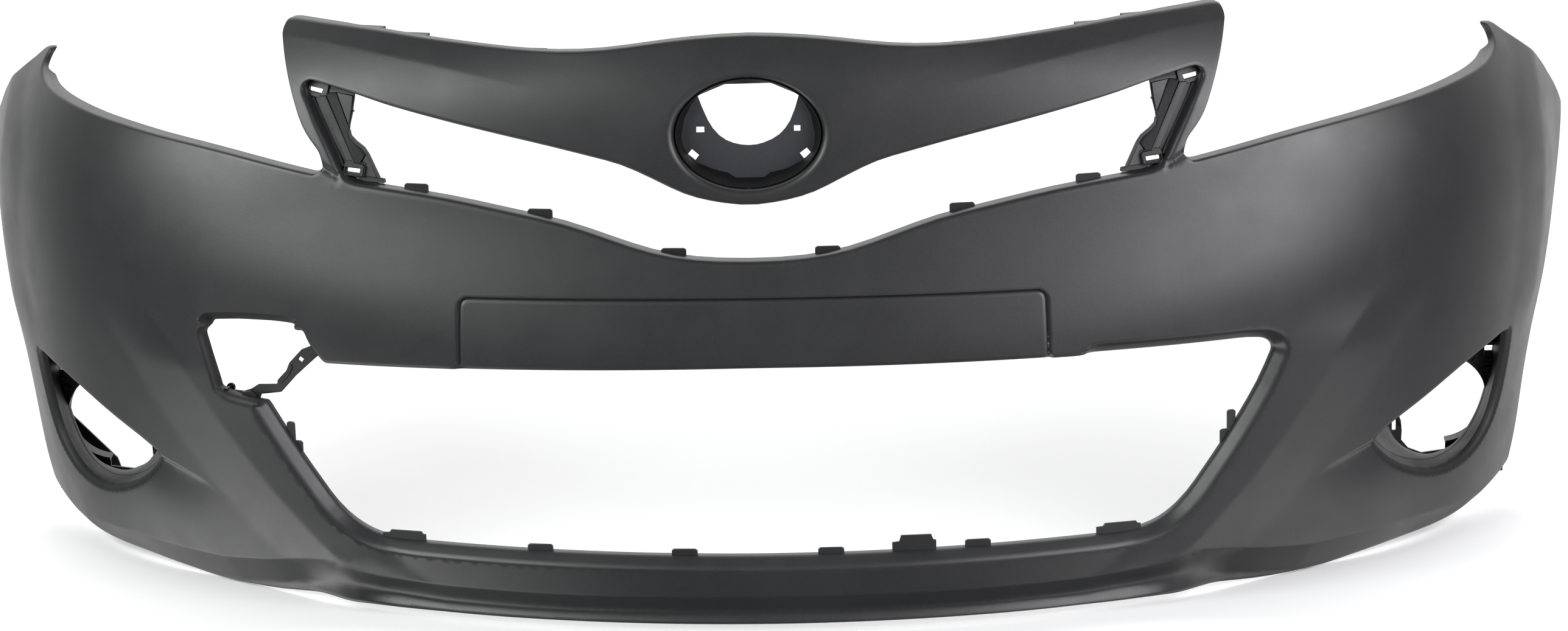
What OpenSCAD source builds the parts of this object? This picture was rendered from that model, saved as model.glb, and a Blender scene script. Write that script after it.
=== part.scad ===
// Front bumper cover of a small hatchback: one thin moulded skin with its
// emblem seat, grille corner brackets, fog lamp housings, tow-eye bridge,
// bonnet-edge retainers and fixings. +X is the car's width, -Y faces forward,
// +Z is up, and the origin is on the ground below the middle of the cover.

/* [Skin] */
// Wall thickness of the moulded skin
wall = 3; // [2.6:0.1:3.6]
// Depth of the turned-back edges around the openings
flange_depth = 16; // [12:1:20]
// Depth of the turned-in edge along the wheel arch
arch_flange = 20; // [14:1:24]
// Radius of the wheel arch
arch_r = 400; // [396:1:404]

/* [Number plate recess] */
// Width of the plate recess
plate_w = 586; // [520:1:600]
// Height of the top of the plate recess above the ground line
plate_top = 346; // [340:1:352]
// Depth of the plate recess
plate_depth = 3; // [1:0.5:5]

/* [Emblem seat] */
// Width of the oval emblem opening
emblem_w = 152; // [140:1:160]
// Height of the oval emblem opening
emblem_h = 106; // [98:1:110]
// Depth from the nose to the emblem seat
emblem_depth = 20; // [16:1:26]
// Side of the square clip slots
clip_slot = 8; // [6:0.5:10]

/* [Fog lamps] */
// Diameter of the fog lamp hole
lamp_d = 96; // [84:1:98]
// Length of the lamp tube
lamp_tube = 14; // [12:1:30]
// Wall of the lamp tube
lamp_wall = 3; // [2:0.5:4]

/* [Bonnet edge retainers] */
// Diameter of the push-clip holes
clip_d = 9; // [7:0.5:10]
// Depth of the clip tabs behind the skin
tab_depth = 38; // [34:1:44]
// Width of the clip tabs
tab_w = 40; // [30:1:44]

/* [Fixings] */
// Head diameter of the screws
screw_head = 11; // [9:0.5:12]
// Bore of the clip nuts along the wheel arch
nut_bore = 5; // [4:0.5:6]

/* [Hidden] */
$fn = 48;

// ---------------------------------------------------------------- surface
// The skin is described on a plan curve: a is the distance along the curve
// from the middle of the car (negative on the -X side) and z the height.
// Heading of the curve, in degrees from straight across.
head_a = [0, 250, 400, 550, 680, 780, 880, 960, 1040, 1200, 1500];
head_v = [0, 9, 15, 24, 37, 50, 62.5, 71.5, 77.5, 81.5, 84];
hn = len(head_a) - 1;
function hslope(i) =
  i == 0 ? (head_v[1] - head_v[0]) / (head_a[1] - head_a[0]) :
  i == hn ? (head_v[hn] - head_v[hn - 1]) / (head_a[hn] - head_a[hn - 1]) :
  let (h0 = head_a[i] - head_a[i - 1], h1 = head_a[i + 1] - head_a[i])
    ((head_v[i] - head_v[i - 1]) / h0 * h1 + (head_v[i + 1] - head_v[i]) / h1 * h0) / (h0 + h1);
hs = [for (i = [0:hn]) hslope(i)];
function hseg(a, i = 0) = (i >= hn - 1 || a < head_a[i + 1]) ? i : hseg(a, i + 1);
function head(a) = let (i = hseg(a), h = head_a[i + 1] - head_a[i], t = (a - head_a[i]) / h)
  head_v[i] * (1 + 2 * t) * (1 - t) * (1 - t) + head_v[i + 1] * t * t * (3 - 2 * t)
  + h * (hs[i] * t * (1 - t) * (1 - t) - hs[i + 1] * t * t * (1 - t));
plan = [for (i = 0, x = 0, y = 0; i <= 130;
  x = x + 10 * cos(head(i * 10 + 5)), y = y + 10 * sin(head(i * 10 + 5)), i = i + 1) [i * 10, x, y]];
plan_x = [for (p = plan) [p[0], p[1]]];
plan_y = [for (p = plan) [p[0], p[2]]];
plan_h = [for (p = plan) [p[0], head(p[0])]];

// How far the skin stands back from the plan curve: smooth control heights
// every 150 mm along the curve and every 70 mm up.
da = 150;
dz = 70;
net = [
  [14, 16, 24, 44, 64, 62, 50, 34, 28, 28],
  [6, 8, 16, 28, 40, 38, 30, 17, 12, 12],
  [8, 8, 12, 18, 26, 24, 19, 15, 12, 12],
  [6, 6, 8, 12, 15, 13, 10, 5, 0, 0],
  [0, 0, 1, 3, 5, 5, 4, -3, -9, -9],
  [24, 20, 14, 8, 4, 2, 1, -6, -13, -13],
  [42, 46, 42, 30, 18, 10, 5, -5, -12, -12],
  [48, 54, 54, 46, 38, 34, 30, 20, 12, 10],
  [66, 66, 66, 68, 80, 86, 86, 80, 70, 58],
  [124, 124, 124, 126, 134, 140, 146, 140, 126, 110]];
function clamp(x, lo = 0, hi = 1) = min(max(x, lo), hi);
function bw(t) = [pow(1 - t, 3) / 6, (3 * t * t * t - 6 * t * t + 4) / 6,
  (-3 * t * t * t + 3 * t * t + 3 * t + 1) / 6, t * t * t / 6];
function ctrl(j, i) = let (k = min(i, 9)) j < 0 ? 2 * net[0][k] - net[1][k] :
  j > 9 ? 2 * net[9][k] - net[8][k] : net[j][k];
function smooth_r(a, z) = let (u = clamp(abs(a) / da, 0, 8.999), v = clamp(z / dz, 0, 8.999),
  i = floor(u), j = floor(v), bu = bw(u - i), bv = bw(v - j))
  bv * [for (q = [0:3]) bu * [for (p = [0:3]) ctrl(j + q - 1, abs(i + p - 1))]];

// Styling lines: soft ridges that stand proud along a curve a = f(z).
flank_line = [[200, 955], [240, 963], [290, 969], [430, 974], [470, 1010], [490, 1045], [540, 1100]];
frame_line = [[40, 405], [50, 432], [75, 456], [107, 484], [143, 514], [185, 545], [223, 575],
  [256, 600], [287, 622], [309, 645], [327, 675]];
function tent(d, w0, w1) = d < 0 ? max(0, 1 + d / w0) : max(0, 1 - d / w1);
function fade(z, z0, z1) = let (t = clamp((z - z0) / (z1 - z0))) t * t * (3 - 2 * t);
function ridges(a, z) = let (b = abs(a))
  - 5 * tent(b - lookup(z, flank_line), 70, 90) * fade(z, 180, 260)
  - 5 * tent(b - lookup(z, frame_line), 45, 110) * fade(z, 30, 60) * (1 - fade(z, 270, 330));
function recess(a, z) = z < 180 ? 0 :
  plate_depth * clamp((plate_w / 2 + 2 - abs(a)) / 4) * clamp((plate_top + 2 - z) / 4);
function setback(a, z) = smooth_r(a, z) + ridges(a, z) + recess(a, z);
y0 = -284.2;
// A point t millimetres behind the outer face.
function pt(a, z, t = 0) = let (b = abs(a), s = a < 0 ? -1 : 1, h = lookup(b, plan_h), r = setback(a, z) + t)
  [s * (lookup(b, plan_x) - sin(h) * r), lookup(b, plan_y) + cos(h) * r + y0, z];
function front(p) = let (q = pt(p[0], p[1])) [q[0], q[2]];
function side(p) = let (q = pt(p[0], p[1])) [q[1], q[2]];
function flip(v) = [for (i = [len(v) - 1:-1:0]) [-v[i][0], v[i][1]]];

// ---------------------------------------------------------------- outlines
bottom_line = [[0, 10], [420, 10], [480, 8], [540, 2], [590, 0], [640, 0], [700, 5], [780, 9], [840, 16], [900, 25], [980, 37], [1150, 62]];
top_edge = [[0, 595], [60, 592], [100, 588], [150, 582], [200, 580], [250, 582], [300, 586],
  [350, 590], [400, 595], [450, 598], [505, 601], [516, 600], [518, 590], [500, 555], [470, 500],
  [450, 480], [446, 469], [448, 461], [456, 459], [500, 466], [550, 474], [600, 480], [700, 488],
  [800, 493], [870, 496], [905, 499], [930, 504], [946, 510], [954, 518], [956, 527]];
upper_open = [[0, 433], [60, 443], [100, 462], [130, 475], [200, 491], [300, 511], [380, 528], [415, 537],
  [460, 546], [470, 547], [476, 543], [475, 537], [460, 515], [440, 485], [427, 462], [420, 456], [410, 452],
  [310, 440], [190, 418], [100, 390], [55, 383], [0, 381]];
lower_open = [[0, 279], [505, 278], [525, 275], [536, 265], [520, 228], [500, 195], [483, 169],
  [446, 118], [425, 99], [403, 88], [371, 83], [0, 82]];
tow_side = [[0, 82], [-371, 84], [-402, 89], [-424, 100], [-445, 118], [-482, 170], [-503, 203],
  [-516, 225], [-536, 227], [-555, 236], [-566, 262], [-579, 288], [-574, 304], [-557, 312],
  [-480, 314], [-463, 308], [-450, 293], [-438, 273], [0, 279]];
fog_open = [[896, 212], [900, 190], [897, 150], [885, 118], [850, 93], [800, 85], [745, 95],
  [700, 115], [674, 138], [668, 149], [690, 161], [739, 181], [790, 200], [840, 210], [880, 215]];
seam = [[956, 527], [975, 525], [1020, 494], [1075, 454], [1132, 405]];
arch_y = 825 + y0;
arch_z = 105;
// Liner flange in front of the wheel arch: a thin web that widens downwards.
arch_web_y = 133;
arch_web = [[820, 124], [777, 120], [721, 60], [714, 38], [820, 38]];

// Grid of the skin: columns along the curve and rows up each column.
pe = plate_w / 2;
reach = 1148;
grid_a = concat([for (i = [27:-1:1]) -pe - 2 - i * (reach - pe) / 27], [-pe - 2, -pe + 2],
  [for (i = [-7:7]) i * (pe - 4) / 7.6], [pe - 2, pe + 2], [for (i = [1:27]) pe + 2 + i * (reach - pe) / 27]);
function foot(a) = lookup(abs(a), bottom_line);
function rows(a) = let (b = foot(a)) concat([for (k = [0:8]) b + (272 - b) * k / 8],
  [310, plate_top - 2, plate_top + 2], [for (k = [1:9]) plate_top + 2 + k * (604 - plate_top) / 9]);
function strip(a) = [foot(a) + 1.3, foot(a) + 1 + wall];
// A coarser grid carries the turned-back edges.
edge_a = [for (i = [-21:21]) i * reach / 21];
function edge_rows(a) = let (b = foot(a)) [for (k = [0:12]) b + (604 - b) * k / 12];

// A sheet between two depths behind the outer face. Each column has its own
// list of heights, and every cell is split into two triangles.
module sheet(t0, t1, as, zs) {
  n = len(as);
  m = len(zs[0]);
  k = n * m;
  points = concat([for (i = [0:n - 1], j = [0:m - 1]) pt(as[i], zs[i][j], t0)],
    [for (i = [0:n - 1], j = [0:m - 1]) pt(as[i], zs[i][j], t1)]);
  cells = concat(
    [for (i = [0:n - 2], j = [0:m - 2]) let (q = i * m + j) [q, q + 1, q + m + 1, q + m]],
    [for (i = [0:n - 2], j = [0:m - 2]) let (q = k + i * m + j) [q, q + m, q + m + 1, q + 1]],
    [for (i = [0:n - 2]) let (q = i * m) [q, q + m, k + q + m, k + q]],
    [for (i = [0:n - 2]) let (q = i * m + m - 1) [q + m, q, k + q, k + q + m]],
    [for (j = [0:m - 2]) [j + 1, j, k + j, k + j + 1]],
    [for (j = [0:m - 2]) let (q = (n - 1) * m + j) [q, q + 1, k + q + 1, k + q]]);
  polyhedron(points, concat([for (c = cells) [c[0], c[1], c[2]]], [for (c = cells) [c[0], c[2], c[3]]]));
}
module skin_sheet(t0, t1) { sheet(t0, t1, grid_a, [for (a = grid_a) rows(a)]); }
module edge_sheet(t0, t1) { sheet(t0, t1, edge_a, [for (a = edge_a) edge_rows(a)]); }

// A closed band lofted through rings of points: out along the outer face and
// back along the inner face.
module band(rings) {
  n = len(rings[0]);
  m = len(rings);
  cells = [for (r = [0:m - 1], i = [0:n - 1]) let (j = (i + 1) % n, s = (r + 1) % m)
    [r * n + i, r * n + j, s * n + j, s * n + i]];
  polyhedron([for (r = rings, p = r) p],
    concat([for (c = cells) [c[0], c[1], c[2]]], [for (c = cells) [c[0], c[2], c[3]]]));
}

// Prisms that run front to back through an outline, and across the side.
module run_y() { translate([0, 800, 0]) rotate([90, 0, 0]) linear_extrude(1600) children(); }
module run_x() { rotate([90, 0, 90]) translate([0, 0, 600]) linear_extrude(400) children(); }
module both() { children(); mirror([1, 0, 0]) children(); }
function halves(v) = let (f = [for (p = v) front(p)]) concat(f, [for (i = [len(f) - 2:-1:1]) [-f[i][0], f[i][1]]]);
module upper_shape() { polygon(halves(upper_open)); }
module lower_shape() {
  polygon(concat([for (p = lower_open) front(p)], [for (i = [1:len(tow_side) - 2]) front(tow_side[i])]));
}
module fog_shape() { polygon([for (p = fog_open) front(p)]); }
module emblem_shape() { translate([0, 503]) scale([emblem_w / emblem_h, 1]) circle(d = emblem_h); }
tip_x = front(top_edge[len(top_edge) - 1])[0];
module above_shape() {
  f = [for (p = top_edge) front(p)];
  polygon(concat(f, [[tip_x, 760], [-tip_x, 760]], [for (i = [len(f) - 1:-1:1]) [-f[i][0], f[i][1]]]));
}
module seam_shape() {
  polygon(concat([for (p = seam) side(p)], [[500, 405], [500, 760], [side(seam[0])[0], 760]]));
}
module edge_of(w) { offset(delta = w) children(); }

// Small upright tabs behind the edge of an opening.
module tab(a, z, w, h) {
  translate(pt(a, z, flange_depth - 3)) rotate([0, 0, sign(a) * lookup(abs(a), plan_h)])
    translate([-w / 2, 0, -4]) cube([w, 2.4, h + 4]);
}

module bumper_skin() {
  color("dimgray") resize([0, 0, 0]) difference() {
    union() {
      skin_sheet(0, wall);
      sheet(1.6, 24, edge_a, [for (a = edge_a) strip(a)]);
      intersection() {
        edge_sheet(1.6, flange_depth);
        union() {
          run_y() edge_of(wall) upper_shape();
          run_y() edge_of(wall) lower_shape();
          run_y() edge_of(wall) emblem_shape();
          both() run_y() edge_of(wall) fog_shape();
          intersection() {
            run_y() edge_of(wall) above_shape();
            both() translate([437, -400, 411]) cube([330, 900, 111]);
          }
        }
      }
      intersection() {
        edge_sheet(1.6, arch_flange);
        translate([0, arch_y, arch_z]) rotate([0, 90, 0]) cylinder(r = arch_r + wall, h = 2400, center = true, $fn = 120);
        both() translate([600, -200, 0]) cube([400, 800, 600]);
      }
      intersection() {
        edge_sheet(1.6, 95);
        both() translate([0, arch_web_y + wall, 0]) rotate([90, 0, 0]) linear_extrude(wall) polygon(arch_web);
      }
      for (a = [66, 199, 327]) for (s = [-1, 1]) tab(s * a, [383, 418, 442][floor(a / 130)], 24, 6);
      for (a = [74, 223, 371]) for (s = [-1, 1]) tab(s * a, 83, 24, 7);
      tab(165, 83, 42, 14);
      for (s = [-1, 1]) tab(s * 487, 184, 14, 12);
    }
    run_y() upper_shape();
    run_y() lower_shape();
    run_y() emblem_shape();
    run_y() above_shape();
    both() run_y() fog_shape();
    both() run_x() seam_shape();
    translate([0, arch_y, arch_z]) rotate([0, 90, 0]) cylinder(r = arch_r, h = 2400, center = true, $fn = 120);
    both() for (q = arch_nuts) arch_at(q) cylinder(r = 3.4, h = 30, center = true, $fn = 16);
  }
}

// ---------------------------------------------------------------- emblem seat
seat_y = 76 + y0;
function oval(k, n = 40) = [for (i = [0:n - 1]) [k * emblem_w / 2 * cos(i * 360 / n), 503 + k * emblem_h / 2 * sin(i * 360 / n)]];
function oval_at(k, t) = [for (p = oval(k)) pt(p[0], p[1], t)];
function oval_flat(k, y) = [for (p = oval(k)) [p[0], y + (p[1] - 503) * tan(6), p[1]]];
module seat_tilt() { translate([0, seat_y, 503]) rotate([-6, 0, 0]) translate([0, 0, -503]) children(); }
module emblem_seat() {
  color("dimgray") resize([0, 0, 0]) difference() {
    union() {
      band([oval_at(0.985, 1.2), oval_flat(0.93, seat_y + 2.5), oval_flat(0.90, seat_y + 2.5), oval_at(0.955, 1.2)]);
      band([oval_at(1.12, wall + 0.4), oval_at(1.12, wall + 2.6), oval_at(0.95, wall + 2.6), oval_at(0.95, wall + 0.4)]);
      seat_tilt() rotate([90, 0, 0]) translate([0, 503, -2.5]) linear_extrude(2.5)
        scale([emblem_w / emblem_h, 1]) circle(d = emblem_h * 0.92, $fn = 60);
      seat_tilt() translate([-24, -5, 503 - emblem_h * 0.45]) cube([48, 6, 7]);
    }
    seat_tilt() rotate([90, 0, 0]) translate([0, 503, -20]) linear_extrude(40) intersection() {
      translate([0, 40]) circle(r = 53);
      scale([emblem_w / emblem_h, 1]) circle(d = emblem_h * 0.88, $fn = 60);
    }
    for (s = [-1, 1]) {
      seat_tilt() translate([s * 48 - clip_slot / 2, -10, 501]) cube([clip_slot, 20, clip_slot]);
      seat_tilt() translate([s * 55, 0, 479]) rotate([0, s * 30, 0]) cube([clip_slot, 20, clip_slot], center = true);
    }
    seat_tilt() translate([-13, -10, 503 - emblem_h * 0.45 + 5]) cube([26, 6.2, 5]);
  }
}
// A stub normal to the skin: local +Z points into the car.
module inward(a, z, t, lean = 0) {
  translate(pt(a, z, t)) rotate([0, 0, sign(a) * lookup(abs(a), plan_h)]) rotate([-90 - lean, 0, 0]) children();
}
module emblem_seat_pins() {
  color("black") for (i = [0:5]) let (w = 30 + i * 60, p = [1.05 * emblem_w / 2 * cos(w), 503 + 1.05 * emblem_h / 2 * sin(w)])
    inward(p[0], p[1], wall + 3, 12) cylinder(d = 7, h = 2.5, $fn = 24);
}

// ---------------------------------------------------------------- grille corner brackets
// Local frame of a bracket: x along the skin, y up its slope, z into the car.
br_h = 18;
br_lean = 21;
module bracket_frame() { translate(pt(446, 500, 14)) rotate([0, 0, br_h]) rotate([90 - br_lean, 0, 0]) mirror([0, 0, 1]) children(); }
function br(p) = [p[0] - 446, (p[1] - 500) / cos(br_lean)];
br_outline = [[408, 544], [470, 556], [492, 552], [494, 536], [474, 508], [455, 480], [442, 452], [430, 443],
  [384, 440], [386, 456], [401, 481], [417, 500], [412, 520]];
br_screws = [[482, 546], [446, 462]];
module bracket_body() {
  difference() {
    union() {
      linear_extrude(3) polygon([for (p = br_outline) br(p)]);
      translate([0, 0, -9]) linear_extrude(9.5) difference() {
        polygon([for (p = br_outline) br(p)]);
        polygon([for (p = [[414, 540], [466, 550], [468, 538], [455, 515], [436, 484], [424, 458], [391, 448], [406, 479], [422, 499], [418, 520]]) br(p)]);
        translate([15, -80]) square([60, 160]);
      }
      for (d = [-7, 7]) let (p = br([450 + d, 527]), q = br([424 + d, 474]))
        translate([p[0], p[1], -7]) rotate([0, 0, atan2(q[1] - p[1], q[0] - p[0])])
          translate([0, -1.25, 0]) cube([norm(q - p), 2.5, 8]);
      for (w = [0.3, 0.62]) let (p = br([450 - 26 * w, 527 - 53 * w])) translate([p[0] - 7, p[1] - 1, -5]) cube([14, 2, 6]);
      for (p = br_screws) translate([br(p)[0], br(p)[1], -8]) cylinder(d = 10, h = 9);
    }
    for (p = [[456, 538], [410, 463]]) translate([br(p)[0] - 7, br(p)[1] - 4, -20]) cube([14, 8, 40]);
    for (p = br_screws) translate([br(p)[0], br(p)[1], -20]) cylinder(d = 4.4, h = 40);
  }
}
module bracket_screw_set() {
  for (p = br_screws) translate([br(p)[0], br(p)[1], 0]) {
    translate([0, 0, -7]) cylinder(d = 4.2, h = 10.2);
    difference() {
      translate([0, 0, 3.1]) cylinder(d = screw_head, h = 3.2);
      translate([0, 0, 4.6]) cylinder(d = 4.6, h = 3, $fn = 6);
    }
  }
}
module grille_corner_bracket_right() { color([0.08, 0.08, 0.08]) bracket_frame() bracket_body(); }
module grille_corner_bracket_left() { mirror([1, 0, 0]) grille_corner_bracket_right(); }
module bracket_screws_right() { color("silver") bracket_frame() bracket_screw_set(); }
module bracket_screws_left() { mirror([1, 0, 0]) bracket_screws_right(); }

// ---------------------------------------------------------------- fog lamp housings
lamp_x = 710;
lamp_z = 126;
lamp_y = 380 + y0;
fog_mid = [706, 140];
fog_turn = [for (i = [len(fog_open) - 1:-1:0]) fog_open[i]];
function fog_ring(k, t) = [for (p = fog_turn) let (q = pt(785 + (p[0] - 785) * k, 150 + (p[1] - 150) * k, t)) q];
// Straight sleeve behind the opening, then a housing that widens downwards.
function fog_sleeve(k, d) = [for (p = fog_turn) let (f = front(p), q = pt(p[0], p[1]))
  [fog_mid[0] + (f[0] - fog_mid[0]) * k, q[1] + d, 148 + (f[1] - 148) * k]];
fog_rear = [[766, 211], [746, 209], [718, 203], [690, 193], [662, 176], [646, 158], [642, 138], [647, 110], [658, 80],
  [682, 58], [722, 56], [752, 76], [766, 112], [773, 160], [773, 196]];
function fog_back(k, y) = [for (p = fog_rear) [fog_mid[0] + (p[0] - fog_mid[0]) * k, y, fog_mid[1] + (p[1] - fog_mid[1]) * k]];
fog_screws = [[635, 148], [701, 205], [703, 49]];
// The rear rim stays inside the skin on the outboard side.
module fog_rim() {
  difference() {
    offset(delta = 14) polygon([for (q = fog_back(1, 0)) [q[0], q[2]]]);
    polygon([[752, 20], [764, 78], [773, 112], [781, 152], [789, 212], [789, 300], [900, 300], [900, 20]]);
  }
}
module fog_shroud_right() {
  color([0.1, 0.1, 0.1]) resize([0, 0, 0]) difference() {
    union() {
      band([fog_ring(0.985, wall + 0.5), fog_sleeve(0.955, 27), fog_back(1, lamp_y - 1.2), fog_back(0.95, lamp_y - 1.2),
        fog_sleeve(0.915, 27), fog_ring(0.945, wall + 0.5)]);
      translate([0, lamp_y - 0.4, 0]) rotate([90, 0, 0]) linear_extrude(2.5) difference() {
        fog_rim();
        polygon([for (q = fog_back(0.97, 0)) [q[0], q[2]]]);
      }
    }
    for (p = fog_screws) translate([p[0], lamp_y, p[1]]) rotate([90, 0, 0]) cylinder(d = 5.2, h = 20, center = true, $fn = 16);
  }
}
module fog_shroud_left() { mirror([1, 0, 0]) fog_shroud_right(); }
// Room for the lamp's connector below and inboard of the round hole.
lamp_notch = [[668, 107], [670, 90], [669.5, 79], [677, 70], [691, 64.5], [716, 68], [716, 96], [688, 112]];
module fog_lamp_carrier_right() {
  color([0.06, 0.06, 0.06]) difference() {
    union() {
      translate([0, lamp_y + 3, 0]) rotate([90, 0, 0]) linear_extrude(3) fog_rim();
      translate([lamp_x, lamp_y + lamp_tube, lamp_z]) rotate([90, 0, 0]) cylinder(d = lamp_d + 2 * lamp_wall, h = lamp_tube + 3, $fn = 72);
      for (w = [60, 100, 140]) translate([lamp_x, lamp_y + 2, lamp_z]) rotate([0, -w, 0])
        translate([lamp_d / 2 + 1, 0, -1.5]) cube([16, lamp_tube - 4, 3]);
    }
    translate([lamp_x, lamp_y + lamp_tube + 40, lamp_z]) rotate([90, 0, 0]) cylinder(d = lamp_d, h = 200, $fn = 72);
    translate([0, lamp_y + 60, 0]) rotate([90, 0, 0]) linear_extrude(120) polygon(lamp_notch);
    translate([755, lamp_y - 20, 177]) cube([12, 60, 6]);
    translate([762, lamp_y - 20, 120]) cube([4.5, 60, 12]);
    translate([659.5, lamp_y - 20, 90]) cube([4, 60, 13]);
    for (p = fog_screws) translate([p[0], lamp_y + 20, p[1]]) rotate([90, 0, 0]) cylinder(d = 5.2, h = 40);
  }
}
module fog_lamp_carrier_left() { mirror([1, 0, 0]) fog_lamp_carrier_right(); }
module fog_carrier_screws_right() {
  color("silver") for (p = fog_screws) translate([p[0], lamp_y, p[1]]) rotate([-90, 0, 0]) {
    translate([0, 0, -5]) cylinder(d = 5, h = 8.2);
    difference() {
      translate([0, 0, 3.1]) cylinder(d = screw_head, h = 3.4);
      translate([0, 0, 4.8]) cylinder(d = 5, h = 3, $fn = 6);
    }
  }
}
module fog_carrier_screws_left() { mirror([1, 0, 0]) fog_carrier_screws_right(); }

// ---------------------------------------------------------------- tow-eye bridge
// Thin strap across the tow-eye access opening, on the -X side.
tow_a = -508;
module tow_frame() { translate(pt(tow_a, 262, 7)) rotate([0, 0, -21]) rotate([90, 0, 0]) mirror([0, 0, 1]) children(); }
tow_path = [[-562, 233], [-540, 231], [-531, 238], [-520, 246], [-499, 247], [-487, 257], [-474, 274], [-452, 292], [-436, 296]];
function tw(i, s) = let (n = len(tow_path) - 1, p = tow_path[i], q = tow_path[max(i - 1, 0)], r = tow_path[min(i + 1, n)],
  d = (r - q) / norm(r - q)) [p[0] - s * d[1] - tow_a, p[1] + s * d[0] - 262];
tow_pins = [[-556, 233], [-442, 295]];
module tow_eye_bridge() {
  color([0.08, 0.08, 0.08]) tow_frame() difference() {
    union() {
      linear_extrude(9) polygon(concat([for (i = [0:8]) tw(i, 5.5)], [for (i = [8:-1:0]) tw(i, -5.5)]));
      for (p = tow_pins) translate([p[0] - tow_a, p[1] - 262, 0]) cylinder(d = 14, h = 4);
    }
    translate([-480 - tow_a, 266 - 262, -5]) rotate([0, 0, -42]) cube([5, 9, 30], center = true);
    for (p = tow_pins) translate([p[0] - tow_a, p[1] - 262, -5]) cylinder(d = 4.4, h = 30);
  }
}
module tow_bridge_screws() {
  color("silver") tow_frame() for (p = tow_pins) translate([p[0] - tow_a, p[1] - 262, 0]) {
    translate([0, 0, -2]) cylinder(d = 4.2, h = 11.4);
    translate([0, 0, 9.2]) cylinder(d = 9, h = 2.4);
  }
}

// ---------------------------------------------------------------- bonnet edge retainers
ret_a = [for (i = [0:16]) 40 + i * 28.5];
function ret_z(a) = lookup(a, [for (i = [0:10]) top_edge[i]]) - 8;
clip_at = [[150, 22], [240, 22], [375, 22], [430, 22]];
module retainer_plan() {
  f = [for (a = ret_a) let (q = pt(a, ret_z(a) + 2, wall + 0.6)) [q[0], q[1]]];
  polygon(concat(f, [for (i = [16:-1:0]) let (a = ret_a[i], q = pt(a, ret_z(a) + 2, wall + 12)) [q[0], q[1]]]));
}
module at_clip(c) { let (q = pt(c[0], ret_z(c[0]) + 2, wall)) translate([q[0], q[1], ret_z(c[0])]) rotate([0, 0, lookup(c[0], plan_h)]) children(); }
module upper_retainer_right() {
  color([0.15, 0.15, 0.15]) difference() {
    union() {
      intersection() {
        rotate([90, 0, 0]) translate([0, 0, -300]) linear_extrude(600) polygon(concat(
          [for (i = [0:2:16]) [front([ret_a[i], ret_z(ret_a[i])])[0] + (i == 0 ? -30 : i == 16 ? 30 : 0), ret_z(ret_a[i]) + 2]],
          [for (i = [16:-2:0]) [front([ret_a[i], ret_z(ret_a[i])])[0] + (i == 0 ? -30 : i == 16 ? 30 : 0), ret_z(ret_a[i]) - 1]]));
        translate([0, 0, 500]) linear_extrude(150) retainer_plan();
      }
      for (c = clip_at) at_clip(c) translate([-tab_w / 2, 8, -1]) cube([tab_w, tab_depth - 8, 3]);
    }
    for (c = clip_at) at_clip(c) translate([0, c[1], -20]) cylinder(d = clip_d, h = 40);
  }
}
module upper_retainer_left() { mirror([1, 0, 0]) upper_retainer_right(); }
module retainer_rivets_right() {
  color("black") for (a = [85, 195, 310, 402]) let (q = pt(a, ret_z(a) + 2, wall + 5.5)) translate([q[0], q[1], ret_z(a) + 2.2])
    cylinder(d = 6, h = 1.8, $fn = 24);
}
module retainer_rivets_left() { mirror([1, 0, 0]) retainer_rivets_right(); }

// ---------------------------------------------------------------- wheel-arch clip nuts
// Each nut is placed by its angle around the arch; local z points away from
// the wheel's axle and x lies across the car.
arch_nuts = [30, 8, -10];
function arch_z_at(w) = arch_z + arch_r * sin(w);
function arch_y_at(w) = arch_y - arch_r * cos(w);
arch_x = [812, 790, 776];
function nut_x(w) = w > 20 ? arch_x[0] : w > 0 ? arch_x[1] : arch_x[2];
module arch_at(w) { translate([nut_x(w), arch_y_at(w), arch_z_at(w)]) rotate([90 - w, 0, 0]) children(); }
module arch_clip_nuts_right() {
  color("silver") for (w = arch_nuts) arch_at(w) difference() {
    union() {
      translate([-9, -7, -1.6]) cube([16, 14, 1.3]);
      translate([-9, -7, wall + 0.3]) cube([16, 14, 1.3]);
      translate([-10.3, -7, -1.6]) cube([1.3, 14, wall + 3.2]);
      translate([0, 0, wall + 0.5]) cylinder(d = nut_bore + 4, h = 6);
    }
    translate([0, 0, -10]) cylinder(d = nut_bore, h = 40);
  }
}
module arch_clip_nuts_left() { mirror([1, 0, 0]) arch_clip_nuts_right(); }

bumper_skin();
emblem_seat();
emblem_seat_pins();
grille_corner_bracket_left();
grille_corner_bracket_right();
bracket_screws_left();
bracket_screws_right();
fog_shroud_left();
fog_shroud_right();
fog_lamp_carrier_left();
fog_lamp_carrier_right();
fog_carrier_screws_left();
fog_carrier_screws_right();
tow_eye_bridge();
tow_bridge_screws();
upper_retainer_left();
upper_retainer_right();
retainer_rivets_left();
retainer_rivets_right();
arch_clip_nuts_left();
arch_clip_nuts_right();
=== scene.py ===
import math

import bmesh
import bpy
import numpy as np
from mathutils import Matrix, Vector
from mathutils.geometry import delaunay_2d_cdt, tessellate_polygon
from mathutils.kdtree import KDTree


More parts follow.
